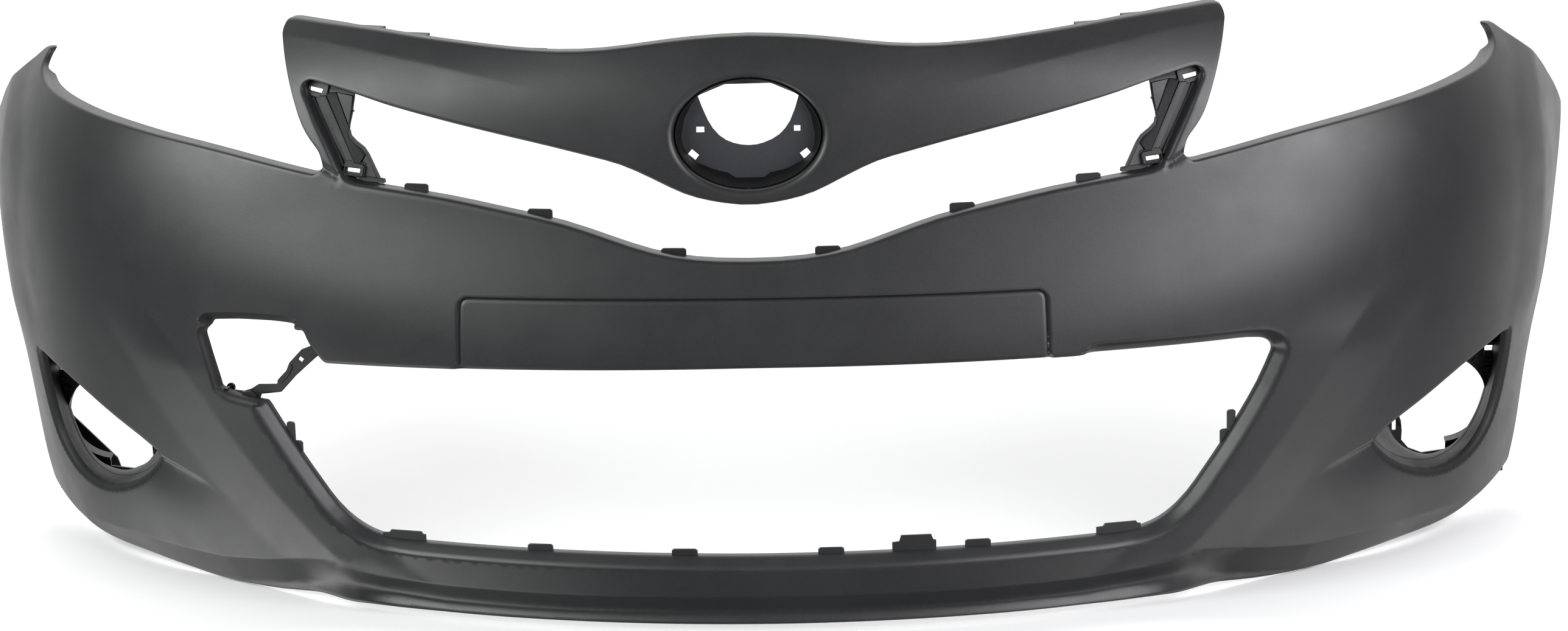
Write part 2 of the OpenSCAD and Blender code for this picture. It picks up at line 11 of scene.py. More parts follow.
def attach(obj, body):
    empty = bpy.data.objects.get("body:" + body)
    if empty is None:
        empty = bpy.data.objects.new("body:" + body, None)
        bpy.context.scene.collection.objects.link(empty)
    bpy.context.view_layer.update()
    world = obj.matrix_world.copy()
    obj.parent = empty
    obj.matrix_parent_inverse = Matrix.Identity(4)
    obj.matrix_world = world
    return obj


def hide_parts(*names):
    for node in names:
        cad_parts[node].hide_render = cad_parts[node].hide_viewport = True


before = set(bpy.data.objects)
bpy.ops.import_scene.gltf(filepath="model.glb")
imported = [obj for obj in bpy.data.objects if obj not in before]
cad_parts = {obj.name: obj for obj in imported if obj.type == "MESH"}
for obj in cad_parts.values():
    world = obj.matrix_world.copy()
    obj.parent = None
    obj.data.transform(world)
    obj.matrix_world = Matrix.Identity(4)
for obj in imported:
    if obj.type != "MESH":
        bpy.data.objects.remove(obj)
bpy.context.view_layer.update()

MM = 0.001
Y0 = -284.2

# ------------------------------------------------------------------ surface
# The same surface as the CAD: a runs along the plan curve, z is the height,
# t goes inward from the outer face. Everything here is in millimetres.
head_a = np.array([0, 250, 400, 550, 680, 780, 880, 960, 1040, 1200, 1500], float)
head_v = np.array([0, 9, 15, 24, 37, 50, 62.5, 71.5, 77.5, 81.5, 84], float)
_h = np.diff(head_a)
_d = np.diff(head_v) / _h
_s = np.concatenate([[_d[0]], (_d[:-1] * _h[1:] + _d[1:] * _h[:-1]) / (_h[:-1] + _h[1:]), [_d[-1]]])


def heading(a):
    i = np.clip(np.searchsorted(head_a, a, side="right") - 1, 0, len(_h) - 1)
    h = _h[i]
    t = (a - head_a[i]) / h
    return (head_v[i] * (1 + 2 * t) * (1 - t) ** 2 + head_v[i + 1] * t * t * (3 - 2 * t)
            + h * (_s[i] * t * (1 - t) ** 2 - _s[i + 1] * t * t * (1 - t)))


plan_s = np.arange(0, 1301, 5.0)
_mid = np.radians(heading(plan_s[:-1] + 2.5))
plan_x = np.concatenate([[0], np.cumsum(5 * np.cos(_mid))])
plan_y = np.concatenate([[0], np.cumsum(5 * np.sin(_mid))])
plan_h = heading(plan_s)

net = np.array([
    [14, 16, 24, 44, 64, 62, 50, 34, 28, 28],
    [6, 8, 16, 28, 40, 38, 30, 17, 12, 12],
    [8, 8, 12, 18, 26, 24, 19, 15, 12, 12],
    [6, 6, 8, 12, 15, 13, 10, 5, 0, 0],
    [0, 0, 1, 3, 5, 5, 4, -3, -9, -9],
    [24, 20, 14, 8, 4, 2, 1, -6, -13, -13],
    [42, 46, 42, 30, 18, 10, 5, -5, -12, -12],
    [48, 54, 54, 46, 38, 34, 30, 20, 12, 10],
    [66, 66, 66, 68, 80, 86, 86, 80, 70, 58],
    [124, 124, 124, 126, 134, 140, 146, 140, 126, 110]], float)
_rows = np.vstack([2 * net[0] - net[1], net, 2 * net[9] - net[8]])
_ext = np.hstack([_rows[:, 1:2], _rows, _rows[:, 9:10]])


def bw(t):
    return np.stack([(1 - t) ** 3 / 6, (3 * t ** 3 - 6 * t * t + 4) / 6,
                     (-3 * t ** 3 + 3 * t * t + 3 * t + 1) / 6, t ** 3 / 6], -1)


def smooth_r(a, z):
    u = np.clip(np.abs(a) / 150, 0, 8.999)
    v = np.clip(z / 70, 0, 8.999)
    i, j = np.floor(u).astype(int), np.floor(v).astype(int)
    bu, bv = bw(u - i), bw(v - j)
    out = np.zeros(np.shape(u))
    for q in range(4):
        for p in range(4):
            out = out + bv[..., q] * bu[..., p] * _ext[j + q, i + p]
    return out


def tent(d, w0, w1, soft=9.0):
    out = 0
    for s in (-1, -0.55, 0, 0.55, 1):
        e = d + s * soft
        out = out + np.where(e < 0, np.maximum(0, 1 + e / w0), np.maximum(0, 1 - e / w1))
    return out / 5


def fade(x, x0, x1):
    t = np.clip((x - x0) / (x1 - x0), 0, 1)
    return t * t * (3 - 2 * t)


flank_line = np.array([[200, 955], [240, 963], [290, 969], [430, 974], [470, 1010], [490, 1045], [540, 1100]], float)
frame_line = np.array([[40, 405], [50, 430], [75, 459], [89, 472], [130, 510], [169, 541], [207, 569],
                       [243, 593], [276, 615], [309, 647], [332, 675]], float)


def ridges(a, z):
    b = np.abs(a)
    return (-5 * tent(b - np.interp(z, flank_line[:, 0], flank_line[:, 1]), 70, 90) * fade(z, 180, 260)
            - 8 * tent(b - np.interp(z, frame_line[:, 0], frame_line[:, 1]), 75, 85, 3.0) * fade(z, 30, 60) * (1 - fade(z, 250, 330)))


def rounded_box(a, z, ha, z0, z1, r):
    """Signed distance to a box with rounded corners, negative inside."""
    x = np.abs(a) - (ha - r)
    y = np.abs(z - (z0 + z1) / 2) - ((z1 - z0) / 2 - r)
    return np.hypot(np.maximum(x, 0), np.maximum(y, 0)) + np.minimum(np.maximum(x, y), 0) - r


def recess(a, z):
    d = rounded_box(a, z, 296, 200, 347.5, 11)
    return 3.0 * (1 - fade(d, -2.2, 0.2)) + 1.4 * np.exp(-((d + 2.3) / 1.1) ** 2)


def poly_dist(a, z, line):
    """Distance from points to an open line, which side (positive to the left of it), and how far along."""
    p = np.stack([a, z], -1)
    best = np.full(len(a), 1e9)
    side = np.zeros(len(a))
    along = np.zeros(len(a))
    line = np.asarray(line, float)
    lens = np.hypot(*np.diff(line, axis=0).T)
    at = np.concatenate([[0], np.cumsum(lens)])
    for k in range(len(line) - 1):
        d = (line[k + 1] - line[k]) / lens[k]
        q = p - line[k]
        s = np.clip(q @ d, 0, lens[k])
        e = q - s[:, None] * d
        dist = np.hypot(e[:, 0], e[:, 1])
        near = dist < best
        best = np.where(near, dist, best)
        cr = d[0] * q[:, 1] - d[1] * q[:, 0]
        side = np.where(near, np.sign(cr), side)
        along = np.where(near, at[k] + s, along)
    return best, side, along / at[-1]


def setback(a, z):
    return smooth_r(a, z) + ridges(a, z) + recess(a, z)


def pt(a, z, t=0.0):
    a, z = np.asarray(a, float), np.asarray(z, float)
    b = np.abs(a)
    s = np.where(a < 0, -1.0, 1.0)
    h = np.radians(np.interp(b, plan_s, plan_h))
    r = setback(a, z) + t
    return np.stack([s * (np.interp(b, plan_s, plan_x) - np.sin(h) * r),
                     np.interp(b, plan_s, plan_y) + np.cos(h) * r + Y0, z + 0 * b], -1)


# ------------------------------------------------------------------ outlines
bottom_line = [[0, 10], [420, 10], [480, 8], [540, 2], [590, 0], [640, 0], [700, 5], [780, 9], [840, 16], [900, 25], [980, 37], [1150, 62]]
top_edge = [[0, 595], [60, 592], [100, 588], [150, 582], [200, 580], [250, 582], [300, 586],
            [350, 590], [400, 595], [450, 598], [505, 601], [516, 600], [518, 590], [500, 555], [470, 500],
            [450, 480], [446, 469], [448, 461], [456, 459], [500, 466], [550, 474], [600, 480], [700, 488],
            [800, 493], [870, 496], [905, 499], [930, 504], [946, 510], [954, 518], [956, 527]]
upper_open = [[0, 433], [60, 443], [100, 462], [130, 475], [200, 491], [300, 511], [380, 528], [415, 537],
              [460, 546], [470, 547], [476, 543], [475, 537], [460, 515], [440, 485], [427, 462], [420, 456], [410, 452],
              [310, 440], [190, 418], [100, 390], [55, 383], [0, 381]]
lower_open = [[0, 279], [505, 278], [525, 275], [536, 265], [520, 228], [500, 195], [483, 169],
              [446, 118], [425, 99], [403, 88], [371, 83], [0, 82]]
tow_side = [[0, 82], [-371, 84], [-402, 89], [-424, 100], [-445, 118], [-482, 170], [-503, 203],
            [-516, 225], [-536, 228.5], [-548, 230.5], [-553.6, 232.4], [-558.6, 234.6], [-563.5, 236], [-566, 248],
            [-574, 275], [-580, 293], [-573, 299], [-570, 304.6], [-541, 308.4], [-498, 310], [-482, 309.4],
            [-475, 308.8], [-467.5, 304.5], [-460, 306], [-453, 290], [-438, 273], [0, 279]]
fog_open = [[896, 212], [900, 190], [897, 150], [885, 118], [850, 93], [800, 85], [745, 95],
            [700, 115], [674, 138], [668, 149], [690, 161], [739, 181], [790, 200], [840, 210], [880, 215]]
seam = [[956, 527], [975, 525], [1020, 494], [1075, 454], [1132, 405]]
arch_y, arch_z, arch_r = 825 + Y0, 105.0, 400.0


def arch_a(z):
    """Where the wheel arch crosses height z, along the skin."""
    y = arch_y - math.sqrt(arch_r ** 2 - (z - arch_z) ** 2)
    lo, hi = 700.0, 1148.0
    for _ in range(40):
        mid = (lo + hi) / 2
        if pt(np.array([mid]), np.array([z]))[0, 1] < y:
            lo = mid
        else:
            hi = mid
    return lo


def foot(a):
    return np.interp(np.abs(a), [p[0] for p in bottom_line], [p[1] for p in bottom_line])


_z = 20.0
for _ in range(30):
    _z = float(foot(arch_a(_z)))
arch_low = (arch_a(_z), _z)
arch_line = [arch_low] + [(arch_a(z), z) for z in (55, 80, 105, 140, 180, 220, 260, 300, 340, 375)] + [(arch_a(405.0), 405.0)]


def round_line(points, closed, radius=None, cap=26.0):
    """A line through given points with every corner rounded; radius gives the corners that stay tighter."""
    pts = [np.array(p, float) for p in points]
    n = len(pts)
    radius = radius or {}
    out = []
    for i in range(n):
        v = pts[i]
        if not closed and i in (0, n - 1):
            out.append(v)
            continue
        p, q = pts[i - 1], pts[(i + 1) % n]
        l0, l1 = np.linalg.norm(v - p), np.linalg.norm(q - v)
        u0, u1 = (v - p) / l0, (q - v) / l1
        d = min(radius.get(i, cap), 0.5 * l0, 0.5 * l1)
        if d < 0.05:
            out.append(v)
            continue
        turn = math.acos(max(-1, min(1, float(u0 @ u1))))
        k = max(2, int(math.ceil(turn / math.radians(7))))
        for s in np.linspace(0, 1, k + 1):
            out.append((1 - s) ** 2 * (v - d * u0) + 2 * s * (1 - s) * v + s * s * (v + d * u1))
    return np.array(out)


def resample(points, closed, step):
    """Even points along a line, at most step apart, with tight bends kept."""
    pts = np.asarray(points, float)
    if closed:
        pts = np.vstack([pts, pts[:1]])
    keep = [pts[0]]
    for k in range(1, len(pts)):
        d = np.linalg.norm(pts[k] - keep[-1])
        if d < 0.9 and k != len(pts) - 1:
            continue
        m = max(1, int(math.ceil(d / step)))
        a = keep[-1]
        for s in range(1, m + 1):
            keep.append(a + (pts[k] - a) * s / m)
    out = np.array(keep)
    if closed:
        out = out[:-1]
        if np.linalg.norm(out[-1] - out[0]) < 0.9:
            out = out[:-1]
    return out


def flipped(points):
    return [[-p[0], p[1]] for p in points[::-1]]


half_outer = [p for p in bottom_line if p[0] < arch_low[0] - 3] + [list(p) for p in arch_line] + \
    [[1075, 454], [1020, 494], [975, 525]] + [p for p in top_edge[::-1]]
outer_pts = half_outer + flipped(half_outer)[1:-1]
outer_tight = {}
for i, p in enumerate(outer_pts):
    b = abs(p[0])
    if abs(b - arch_low[0]) < 0.01:
        outer_tight[i] = 8
    elif abs(p[1] - 405) < 0.01 and b > 1100:
        outer_tight[i] = 7
    elif (b, p[1]) in ((956, 527), (975, 525)):
        outer_tight[i] = 6
    elif (b, p[1]) in ((505, 601), (516, 600), (518, 590)):
        outer_tight[i] = 6
loop_outer = round_line(outer_pts, True, outer_tight)
loop_upper = round_line(upper_open[:-1] + [[0, 381]] + flipped(upper_open)[1:-1], True)
low_pts = lower_open[:-1] + tow_side[:-1]
loop_lower = round_line(low_pts, True, {low_pts.index([-438, 273]): 4, low_pts.index([-516, 225]): 3})
loop_fog_r = round_line(fog_open, True, {fog_open.index([668, 149]): 5})
loop_fog_l = loop_fog_r * [-1, 1]
_w = np.linspace(0, 2 * math.pi, 97)[:-1]
loop_emblem = np.stack([76 * np.cos(_w), 503 + 53 * np.sin(_w)], -1)


def ccw(loop):
    x, y = loop[:, 0], loop[:, 1]
    area = np.sum(x * np.roll(y, -1) - np.roll(x, -1) * y)
    return loop if area > 0 else loop[::-1]


LOOPS = {}
for name, pts_, step in (("outer", loop_outer, 5.0), ("upper", loop_upper, 4.5), ("lower", loop_lower, 4.5),
                         ("fog_right", loop_fog_r, 3.5), ("fog_left", loop_fog_l, 3.5), ("emblem", loop_emblem, 4.0)):
    p = ccw(resample(pts_, True, step))
    if name != "outer":
        p = p[::-1].copy()
    LOOPS[name] = p  # material is always to the left


def normals2(p):
    """Unit direction into the material at each point of a loop, and the mitre stretch."""
    e = np.roll(p, -1, 0) - p
    e /= np.linalg.norm(e, axis=1)[:, None]
    n0 = np.stack([-e[:, 1], e[:, 0]], -1)
    n = n0 + np.roll(n0, 1, 0)
    l = np.linalg.norm(n, axis=1)
    n /= l[:, None]
    return n, np.clip(2 / l, 1, 1.6)


# ------------------------------------------------------------------ edge form
WALL = 2.8
BACK = 2.6


def lower_zone(p):
    """How far each point of the lower opening's edge belongs to the plate panel, the tow-eye opening or the frame."""
    a, z = p[:, 0], p[:, 1]
    panel = ((a > -470) & (a < 330) & (z > 240)).astype(float)
    tow = ((a < -445) & ((z > 224) | (a < -560))).astype(float)
    return panel, tow


def chamfer_of(name, p):
    """Width and depth of the turned-in ring beside each edge point."""
    n = len(p)
    w, dep = np.full(n, 2.4), np.full(n, 2.4)
    a, z = p[:, 0], p[:, 1]
    b = np.abs(a)
    if name == "lower":
        panel, tow = lower_zone(p)
        w[:], dep[:] = 12.0, 12.0
        top = (tow > 0) & (z > 297)
        out = (tow > 0) & (z <= 297)
        w = np.where(top, 10.5, np.where(out & (a < -556), 5.0, np.where(out, 8.0, w)))
        dep = np.where(top, 11.0, np.where(out & (a < -556), 8.0, np.where(out, 9.0, dep)))
        w = np.where(panel > 0, 3.0, w)
        dep = np.where(panel > 0, 3.0, dep)
    elif name == "upper":
        low = (z < np.interp(b, [0, 100, 200, 420, 480], [405, 420, 450, 500, 520])).astype(float)
        w = np.where(low > 0, 4.5, 3.0)
        dep = w.copy()
    elif name == "emblem":
        w[:], dep[:] = 7.5, 6.0
    elif name.startswith("fog"):
        w[:], dep[:] = 9.0, 9.0
        diag = (z > np.interp(b, [668, 739, 790, 840, 880, 896], [147, 178, 196, 206, 211, 213]))
        w = np.where(diag, 3.0, w)
        dep = np.where(diag, 3.0, dep)
    else:
        top = (b < 520) & (z > 560)
        w = np.where(top, 2.0, w)
        dep = np.where(top, 2.0, dep)
        low = (z < 40) & (b < 900)
        w = np.where(low, 3.5, w)
        dep = np.where(low, 3.5, dep)
    for _ in range(4 if name != "lower" else 3):
        w = (np.roll(w, 1) + 2 * w + np.roll(w, -1)) / 4
        dep = (np.roll(dep, 1) + 2 * dep + np.roll(dep, -1)) / 4
    return w, dep


def flange_of(name, p):
    """How deep the turned-back edge reaches, measured from the outer face."""
    a, z = p[:, 0], p[:, 1]
    b = np.abs(a)
    if name == "lower":
        panel, tow = lower_zone(p)
        f = np.where(panel > 0, 16.0, 19.0)
        f = np.where(tow > 0, 13.0, f)
    elif name == "upper":
        f = np.full(len(p), 16.0)
    elif name == "emblem":
        f = np.full(len(p), 9.0)
    elif name.startswith("fog"):
        f = np.full(len(p), 16.0)
    else:
        f = np.full(len(p), 16.0)
        f = np.where((b < 520) & (z > 560), 13.0, f)
        f = np.where((b >= 440) & (b < 960) & (z > 440), 15.0, f)
        f = np.where((b > 930) & (z >= 400), 7.0, f)
        f = np.where((b > 850) & (z < 405) & (z > 12), 19.0, f)
        f = np.where((b <= 905) & (z < 40), 20.0, f)
    for _ in range(3):
        f = (np.roll(f, 1) + 2 * f + np.roll(f, -1)) / 4
    return f


def edge_profile(d, w, dep, style):
    """Setback at distance d from an edge: a flat chamfer with soft corners, or a round roll."""
    x = np.clip(d / w, 0, 1)
    roll = 1 - np.sqrt(np.maximum(0, 1 - (1 - x) ** 2))
    soft = 1.2
    flat = np.maximum(0, w - d)
    ch = np.sqrt(flat * flat + soft * soft) - soft
    ch = ch / (np.sqrt(w * w + soft * soft) - soft)
    lip = np.clip(1 - d / 1.8, 0, 1) ** 2 * 0.12
    return dep * np.where(style > 0, ch + lip, roll)


names = list(LOOPS)
loop_data = {}
bound_pts, bound_w, bound_d, bound_style = [], [], [], []
for name in names:
    p = LOOPS[name]
    n, mitre = normals2(p)
    w, dep = chamfer_of(name, p)
    style = (w > 8.2).astype(float) if name == "lower" else np.zeros(len(p))
    loop_data[name] = dict(p=p, n=n, mitre=mitre, w=w, dep=dep, style=style, flange=flange_of(name, p))
    bound_pts.append(p)
    bound_w.append(w)
    bound_d.append(dep)
    bound_style.append(style)
bound_pts = np.vstack(bound_pts)
bound_w, bound_d, bound_style = map(np.concatenate, (bound_w, bound_d, bound_style))
tree = KDTree(len(bound_pts))
for i, p in enumerate(bound_pts):
    tree.insert((p[0], p[1], 0), i)
tree.balance()
_next = np.zeros(len(bound_pts), int)
_prev = np.zeros(len(bound_pts), int)
_o = 0
for name in names:
    k = len(LOOPS[name])
    idx = np.arange(k)
    _next[_o + idx] = _o + (idx + 1) % k
    _prev[_o + idx] = _o + (idx - 1) % k
    _o += k


def edge_distance(a, z):
    """Exact distance to the nearest edge, and that edge's width, depth and style there."""
    n = len(a)
    d, w, dep, st = np.zeros(n), np.zeros(n), np.zeros(n), np.zeros(n)
    q = np.stack([a, z], -1)
    near = np.array([tree.find((x, y, 0))[1] for x, y in q])
    best = np.full(n, 1e9)
    for other in (_next, _prev):
        p0, p1 = bound_pts[near], bound_pts[other[near]]
        e = p1 - p0
        l2 = np.maximum((e * e).sum(1), 1e-9)
        s = np.clip(((q - p0) * e).sum(1) / l2, 0, 1)
        dist = np.linalg.norm(q - p0 - s[:, None] * e, axis=1)
        m = dist < best
        best = np.where(m, dist, best)
        for arr, src in ((w, bound_w), (dep, bound_d), (st, bound_style)):
            arr[m] = (src[near] * (1 - s) + src[other[near]] * s)[m]
    return best, w, dep, (st > 0.5).astype(float)


# ------------------------------------------------------------------ styling lines of the skin
band_crease = [(516, 586), (465, 584), (402, 576), (341, 568), (284, 558), (229, 548), (170, 538), (120, 528)]
pocket_fold = [(582, 114), (606, 128), (640, 139), (673, 148)]
ledge_line = [(440, 62), (481, 55), (539, 45), (600, 38), (655, 38), (746, 39), (835, 33), (900, 30)]
strut_root = [(447, 467), (440, 463), (428, 457)]
lip_crease = [(0, 42), (200, 41), (330, 42), (400, 46), (440, 52)]
lip_under = [(0, 22), (200, 21), (330, 22), (400, 26), (440, 32)]


def styling(a, z):
    """Extra setback of the fine creases, in millimetres."""
    b = np.abs(a)
    out = np.zeros(len(b))
    d, side, al = poly_dist(b, z, band_crease)
    above = side < 0
    strength = fade(1 - al, 0.0, 0.65)
    out += np.where(above, np.minimum(d, 30) * 0.20, 0) * strength * (b < 560) * (z > 500)
    d, side, al = poly_dist(b, z, pocket_fold)
    below = (side < 0)
    s = fade(al, 0.0, 1.0)
    near = np.exp(-(d / 34.0) ** 2)
    out += np.where(below, 4.5 * s * near * fade(d, 0, 6), 0) * (z < 175)
    d, side, al = poly_dist(b, z, ledge_line)
    below = side < 0
    out += np.where(below, np.minimum(d, 34) * 0.45, 0) * fade(b, 430, 500) * (1 - fade(b, 760, 880))
    d, side, al = poly_dist(b, z, strut_root)
    out += 2.6 * np.exp(-(d / 3.2) ** 2) * (b < 470) * (b > 405)
    d, side, al = poly_dist(b, z, lip_crease)
    below = side < 0
    under = sum(np.minimum(e, 18) * 0.45 - np.maximum(0, e - 22) * 0.7
                for e in (np.maximum(0, d + k * fade(d, 0, 12)) for k in (-4, -2, 0, 2, 4))) / 5
    out += np.where(below, under, 0) * (1 - fade(b, 370, 470)) * (z < 60)
    return out


plate_line = [(294.8, 275), (294.8, 346.3), (0, 346.3)]
FEATURES = [band_crease, pocket_fold, ledge_line, lip_crease, lip_under, strut_root,
            [(p[1], p[0]) for p in flank_line], [(p[1], p[0]) for p in frame_line],
            plate_line]


def face_depth(a, z):
    d, w, dep, st = edge_distance(a, z)
    return styling(a, z) + edge_profile(d, w, dep, st), d


def fog_run(a):
    """Length of the straight edge behind a fog lamp opening."""
    return 16.0 / np.cos(np.radians(heading(np.abs(a))))


# ------------------------------------------------------------------ skin mesh
def build_skin():
    verts2, kinds = [], []
    edges = []
    rings = {}
    for name in names:
        L = loop_data[name]
        k = len(L["p"])
        o = len(verts2)
        verts2 += [tuple(p) for p in L["p"]]
        rings[name] = (o, k)
        edges += [(o + i, o + (i + 1) % k) for i in range(k)]
    inner = {}
    for name in names:
        L = loop_data[name]
        k = len(L["p"])
        o = len(verts2)
        q = L["p"] + L["n"] * (BACK * L["mitre"])[:, None]
        verts2 += [tuple(p) for p in q]
        inner[name] = (o, k)
        edges += [(o + i, o + (i + 1) % k) for i in range(k)]
    fixed = len(verts2)
    cell = 2.0
    grid = {}

    def free(p, r):
        i0, j0 = int(math.floor(p[0] / cell)), int(math.floor(p[1] / cell))
        m = int(math.ceil(r / cell))
        for i in range(i0 - m, i0 + m + 1):
            for j in range(j0 - m, j0 + m + 1):
                for q in grid.get((i, j), ()):
                    if (q[0] - p[0]) ** 2 + (q[1] - p[1]) ** 2 < r * r:
                        return False
        return True

    def add(p):
        grid.setdefault((int(math.floor(p[0] / cell)), int(math.floor(p[1] / cell))), []).append(p)
        verts2.append(p)

    for p in verts2:
        grid.setdefault((int(math.floor(p[0] / cell)), int(math.floor(p[1] / cell))), []).append(p)
    for name in names:
        L = loop_data[name]
        wide = L["w"] > 5
        for d in (1.1, 4.6, 7.2, 10.2, 13.0, 14.6, 18.0, 23.0):
            for i in range(len(L["p"])):
                if d == 1.1 and L["w"][i] < 1:
                    continue
                if d > 13.5 and d < 17 and not wide[i]:
                    continue
                if d > 10 and not wide[i] and i % 2:
                    continue
                q = L["p"][i] + L["n"][i] * d
                if tree.find((q[0], q[1], 0))[2] < d * 0.96:
                    continue
                if free(q, 0.8 if d < 3 else 1.6):
                    add((float(q[0]), float(q[1])))
    for line in FEATURES:
        fine = line is plate_line
        pts_ = resample(round_line(line, False, {1: 11.0}) if fine else round_line(line, False), False, 3.0 if fine else 5.0)
        t = np.gradient(pts_, axis=0)
        t /= np.linalg.norm(t, axis=1)[:, None]
        n = np.stack([-t[:, 1], t[:, 0]], -1)
        for off in (0, 1.0, -1.0, 2.1, -2.1, 3.4, -3.4, 6.0, -6.0) if fine else (0, 1.6, -1.6, 4.0, -4.0, 8.0, -8.0):
            for s in (1, -1):
                for p, m in zip(pts_, n):
                    q = p + m * off
                    q = (s * float(q[0]), float(q[1]))
                    if tree.find((q[0], q[1], 0))[2] > 3.6 and free(q, 0.85 if fine else 1.3):
                        add(q)
    step = 7.5
    row = 0
    z = 0.0
    while z < 606:
        a = -1150.0 + (step / 2 if row % 2 else 0)
        while a < 1150:
            q = (a, z)
            if tree.find((a, z, 0))[2] > 5.0 and free(q, 4.4):
                verts2.append(q)
            a += step
        z += step * 0.87
        row += 1
    vv, ee, ff, ov, oe, _ = delaunay_2d_cdt([Vector(p) for p in verts2], edges, [], 0, 1e-5, True)
    src = [o[0] if len(o) else -1 for o in ov]
    co2 = np.array([(v[0], v[1]) for v in vv])
    back_of = {}
    for i, o in enumerate(ov):
        for x in o:
            back_of[x] = i
    blocked = {(min(e), max(e)) for e, o in zip(ee, oe) if len(o)}
    by_edge = {}
    for t, f in enumerate(ff):
        for i in range(3):
            x, y = f[i], f[(i + 1) % 3]
            by_edge.setdefault((x, y) if x < y else (y, x), []).append(t)
    label = [-1] * len(ff)
    regions = []
    for t0 in range(len(ff)):
        if label[t0] >= 0:
            continue
        r = len(regions)
        label[t0] = r
        stack, members = [t0], [t0]
        while stack:
            f = ff[stack.pop()]
            for i in range(3):
                x, y = f[i], f[(i + 1) % 3]
                key = (x, y) if x < y else (y, x)
                if key in blocked:
                    continue
                for u in by_edge[key]:
                    if label[u] < 0:
                        label[u] = r
                        stack.append(u)
                        members.append(u)
        regions.append(members)

    def inside(p, loop):
        x, y = loop[:, 0], loop[:, 1]
        x1, y1 = np.roll(x, -1), np.roll(y, -1)
        m = (y > p[1]) != (y1 > p[1])
        xs = x[m] + (p[1] - y[m]) * (x1[m] - x[m]) / (y1[m] - y[m])
        return (np.sum(xs > p[0]) % 2) == 1

    def in_domain(p, loops):
        return inside(p, loops["outer"]) and not any(inside(p, loops[n]) for n in names if n != "outer")

    loops_in = {n: np.array([verts2[i] for i in range(inner[n][0], inner[n][0] + inner[n][1])]) for n in names}
    front, back = [], []
    for members in regions:
        tri = [co2[list(ff[t])] for t in members[:400]]
        area = [abs((c[1][0] - c[0][0]) * (c[2][1] - c[0][1]) - (c[1][1] - c[0][1]) * (c[2][0] - c[0][0])) for c in tri]
        best = tri[int(np.argmax(area))].mean(0)
        if in_domain(best, LOOPS):
            front += members
            if in_domain(best, loops_in):
                back += members
    used_f = sorted({i for t in front for i in ff[t]})
    used_b = sorted({i for t in back for i in ff[t]})
    depth, dist = face_depth(co2[:, 0], co2[:, 1])
    P_front = pt(co2[used_f, 0], co2[used_f, 1], depth[used_f])
    # The back face follows the front at the wall's thickness, set back level along the plan and a little thicker where
    # the front face is set back.
    eps = 0.5
    bd, _ = face_depth(co2[used_b, 0], co2[used_b, 1])
    shallow = np.minimum(bd, 9.0)
    P_back = pt(co2[used_b, 0], co2[used_b, 1], bd + WALL + 0.25 * shallow)
    pos = {("f", i): k for k, i in enumerate(used_f)}
    nf = len(used_f)
    for k, i in enumerate(used_b):
        pos[("b", i)] = nf + k
    verts = [P_front, P_back]
    count = nf + len(used_b)
    faces = []
    # faces of the fog and tow-eye pocket edges that take the darker primer: painted shade inside the pockets
    pocket_shade = []
    owner = np.concatenate([np.full(len(LOOPS[m]), k) for k, m in enumerate(names)])
    deep_edge = np.isin(owner, [names.index("fog_right"), names.index("fog_left")])
    deep_edge |= (owner == names.index("lower")) & (bound_pts[:, 0] < -445) & (bound_pts[:, 1] > 222)
    for t in front:
        a, b, c = ff[t]
        mid = co2[[a, b, c]].mean(0)
        _, near, far = tree.find((mid[0], mid[1], 0))
        if deep_edge[near] and far < bound_w[near] - 0.4:
            pocket_shade.append(len(faces))
        faces.append((pos[("f", a)], pos[("f", b)], pos[("f", c)]))
    for t in back:
        a, b, c = ff[t]
        faces.append((pos[("b", c)], pos[("b", b)], pos[("b", a)]))
    # Turned-back edges.
    for name in names:
        L = loop_data[name]
        o, k = rings[name]
        oi, _ = inner[name]
        p = L["p"]
        ids_f = [pos[("f", back_of[o + i])] for i in range(k)]
        ids_b = [pos[("b", back_of[oi + i])] for i in range(k)]
        d0 = depth[[back_of[o + i] for i in range(k)]]
        q = np.array([verts2[oi + i] for i in range(k)])
        db = face_depth(q[:, 0], q[:, 1])[0]
        deep = np.maximum(L["flange"], np.maximum(d0 + 1.5, db + WALL + 0.25 * np.minimum(db, 9) + 1.5))
        r1 = pt(p[:, 0], p[:, 1], d0 + (deep - d0) * 0.5)
        r2 = pt(p[:, 0], p[:, 1], deep - 0.4)
        m0 = p + L["n"] * (0.4)
        r3 = pt(m0[:, 0], m0[:, 1], deep)
        m1 = p + L["n"] * (BACK * L["mitre"] - 0.4)[:, None]
        r4 = pt(m1[:, 0], m1[:, 1], deep)
        r5 = pt(q[:, 0], q[:, 1], deep - 0.4)
        if name.startswith("fog"):
            back = np.array([0, 1.0, 0])
            run = fog_run(p[:, 0])[:, None]
            e0, e1, e2, e3 = (pt(x[:, 0], x[:, 1], d0) for x in (p, m0, m1, q))
            r1, r2, r3 = e0 + back * run * 0.5, e0 + back * (run - 0.4), e1 + back * run
            r4, r5 = e2 + back * run, e3 + back * (run - 0.4)
        rows_ = [ids_f]
        for r in (r1, r2, r3, r4, r5):
            verts.append(r)
            rows_.append([count + i for i in range(k)])
            count += k
        rows_.append(ids_b)
        for u, v in zip(rows_[:-1], rows_[1:]):
            for i in range(k):
                j = (i + 1) % k
                if name.startswith("fog") or (name == "lower" and p[i][0] < -445 and p[i][1] > 222):
                    pocket_shade.append(len(faces))
                faces.append((u[j], u[i], v[i], v[j]))
    return np.vstack(verts), faces, pocket_shade


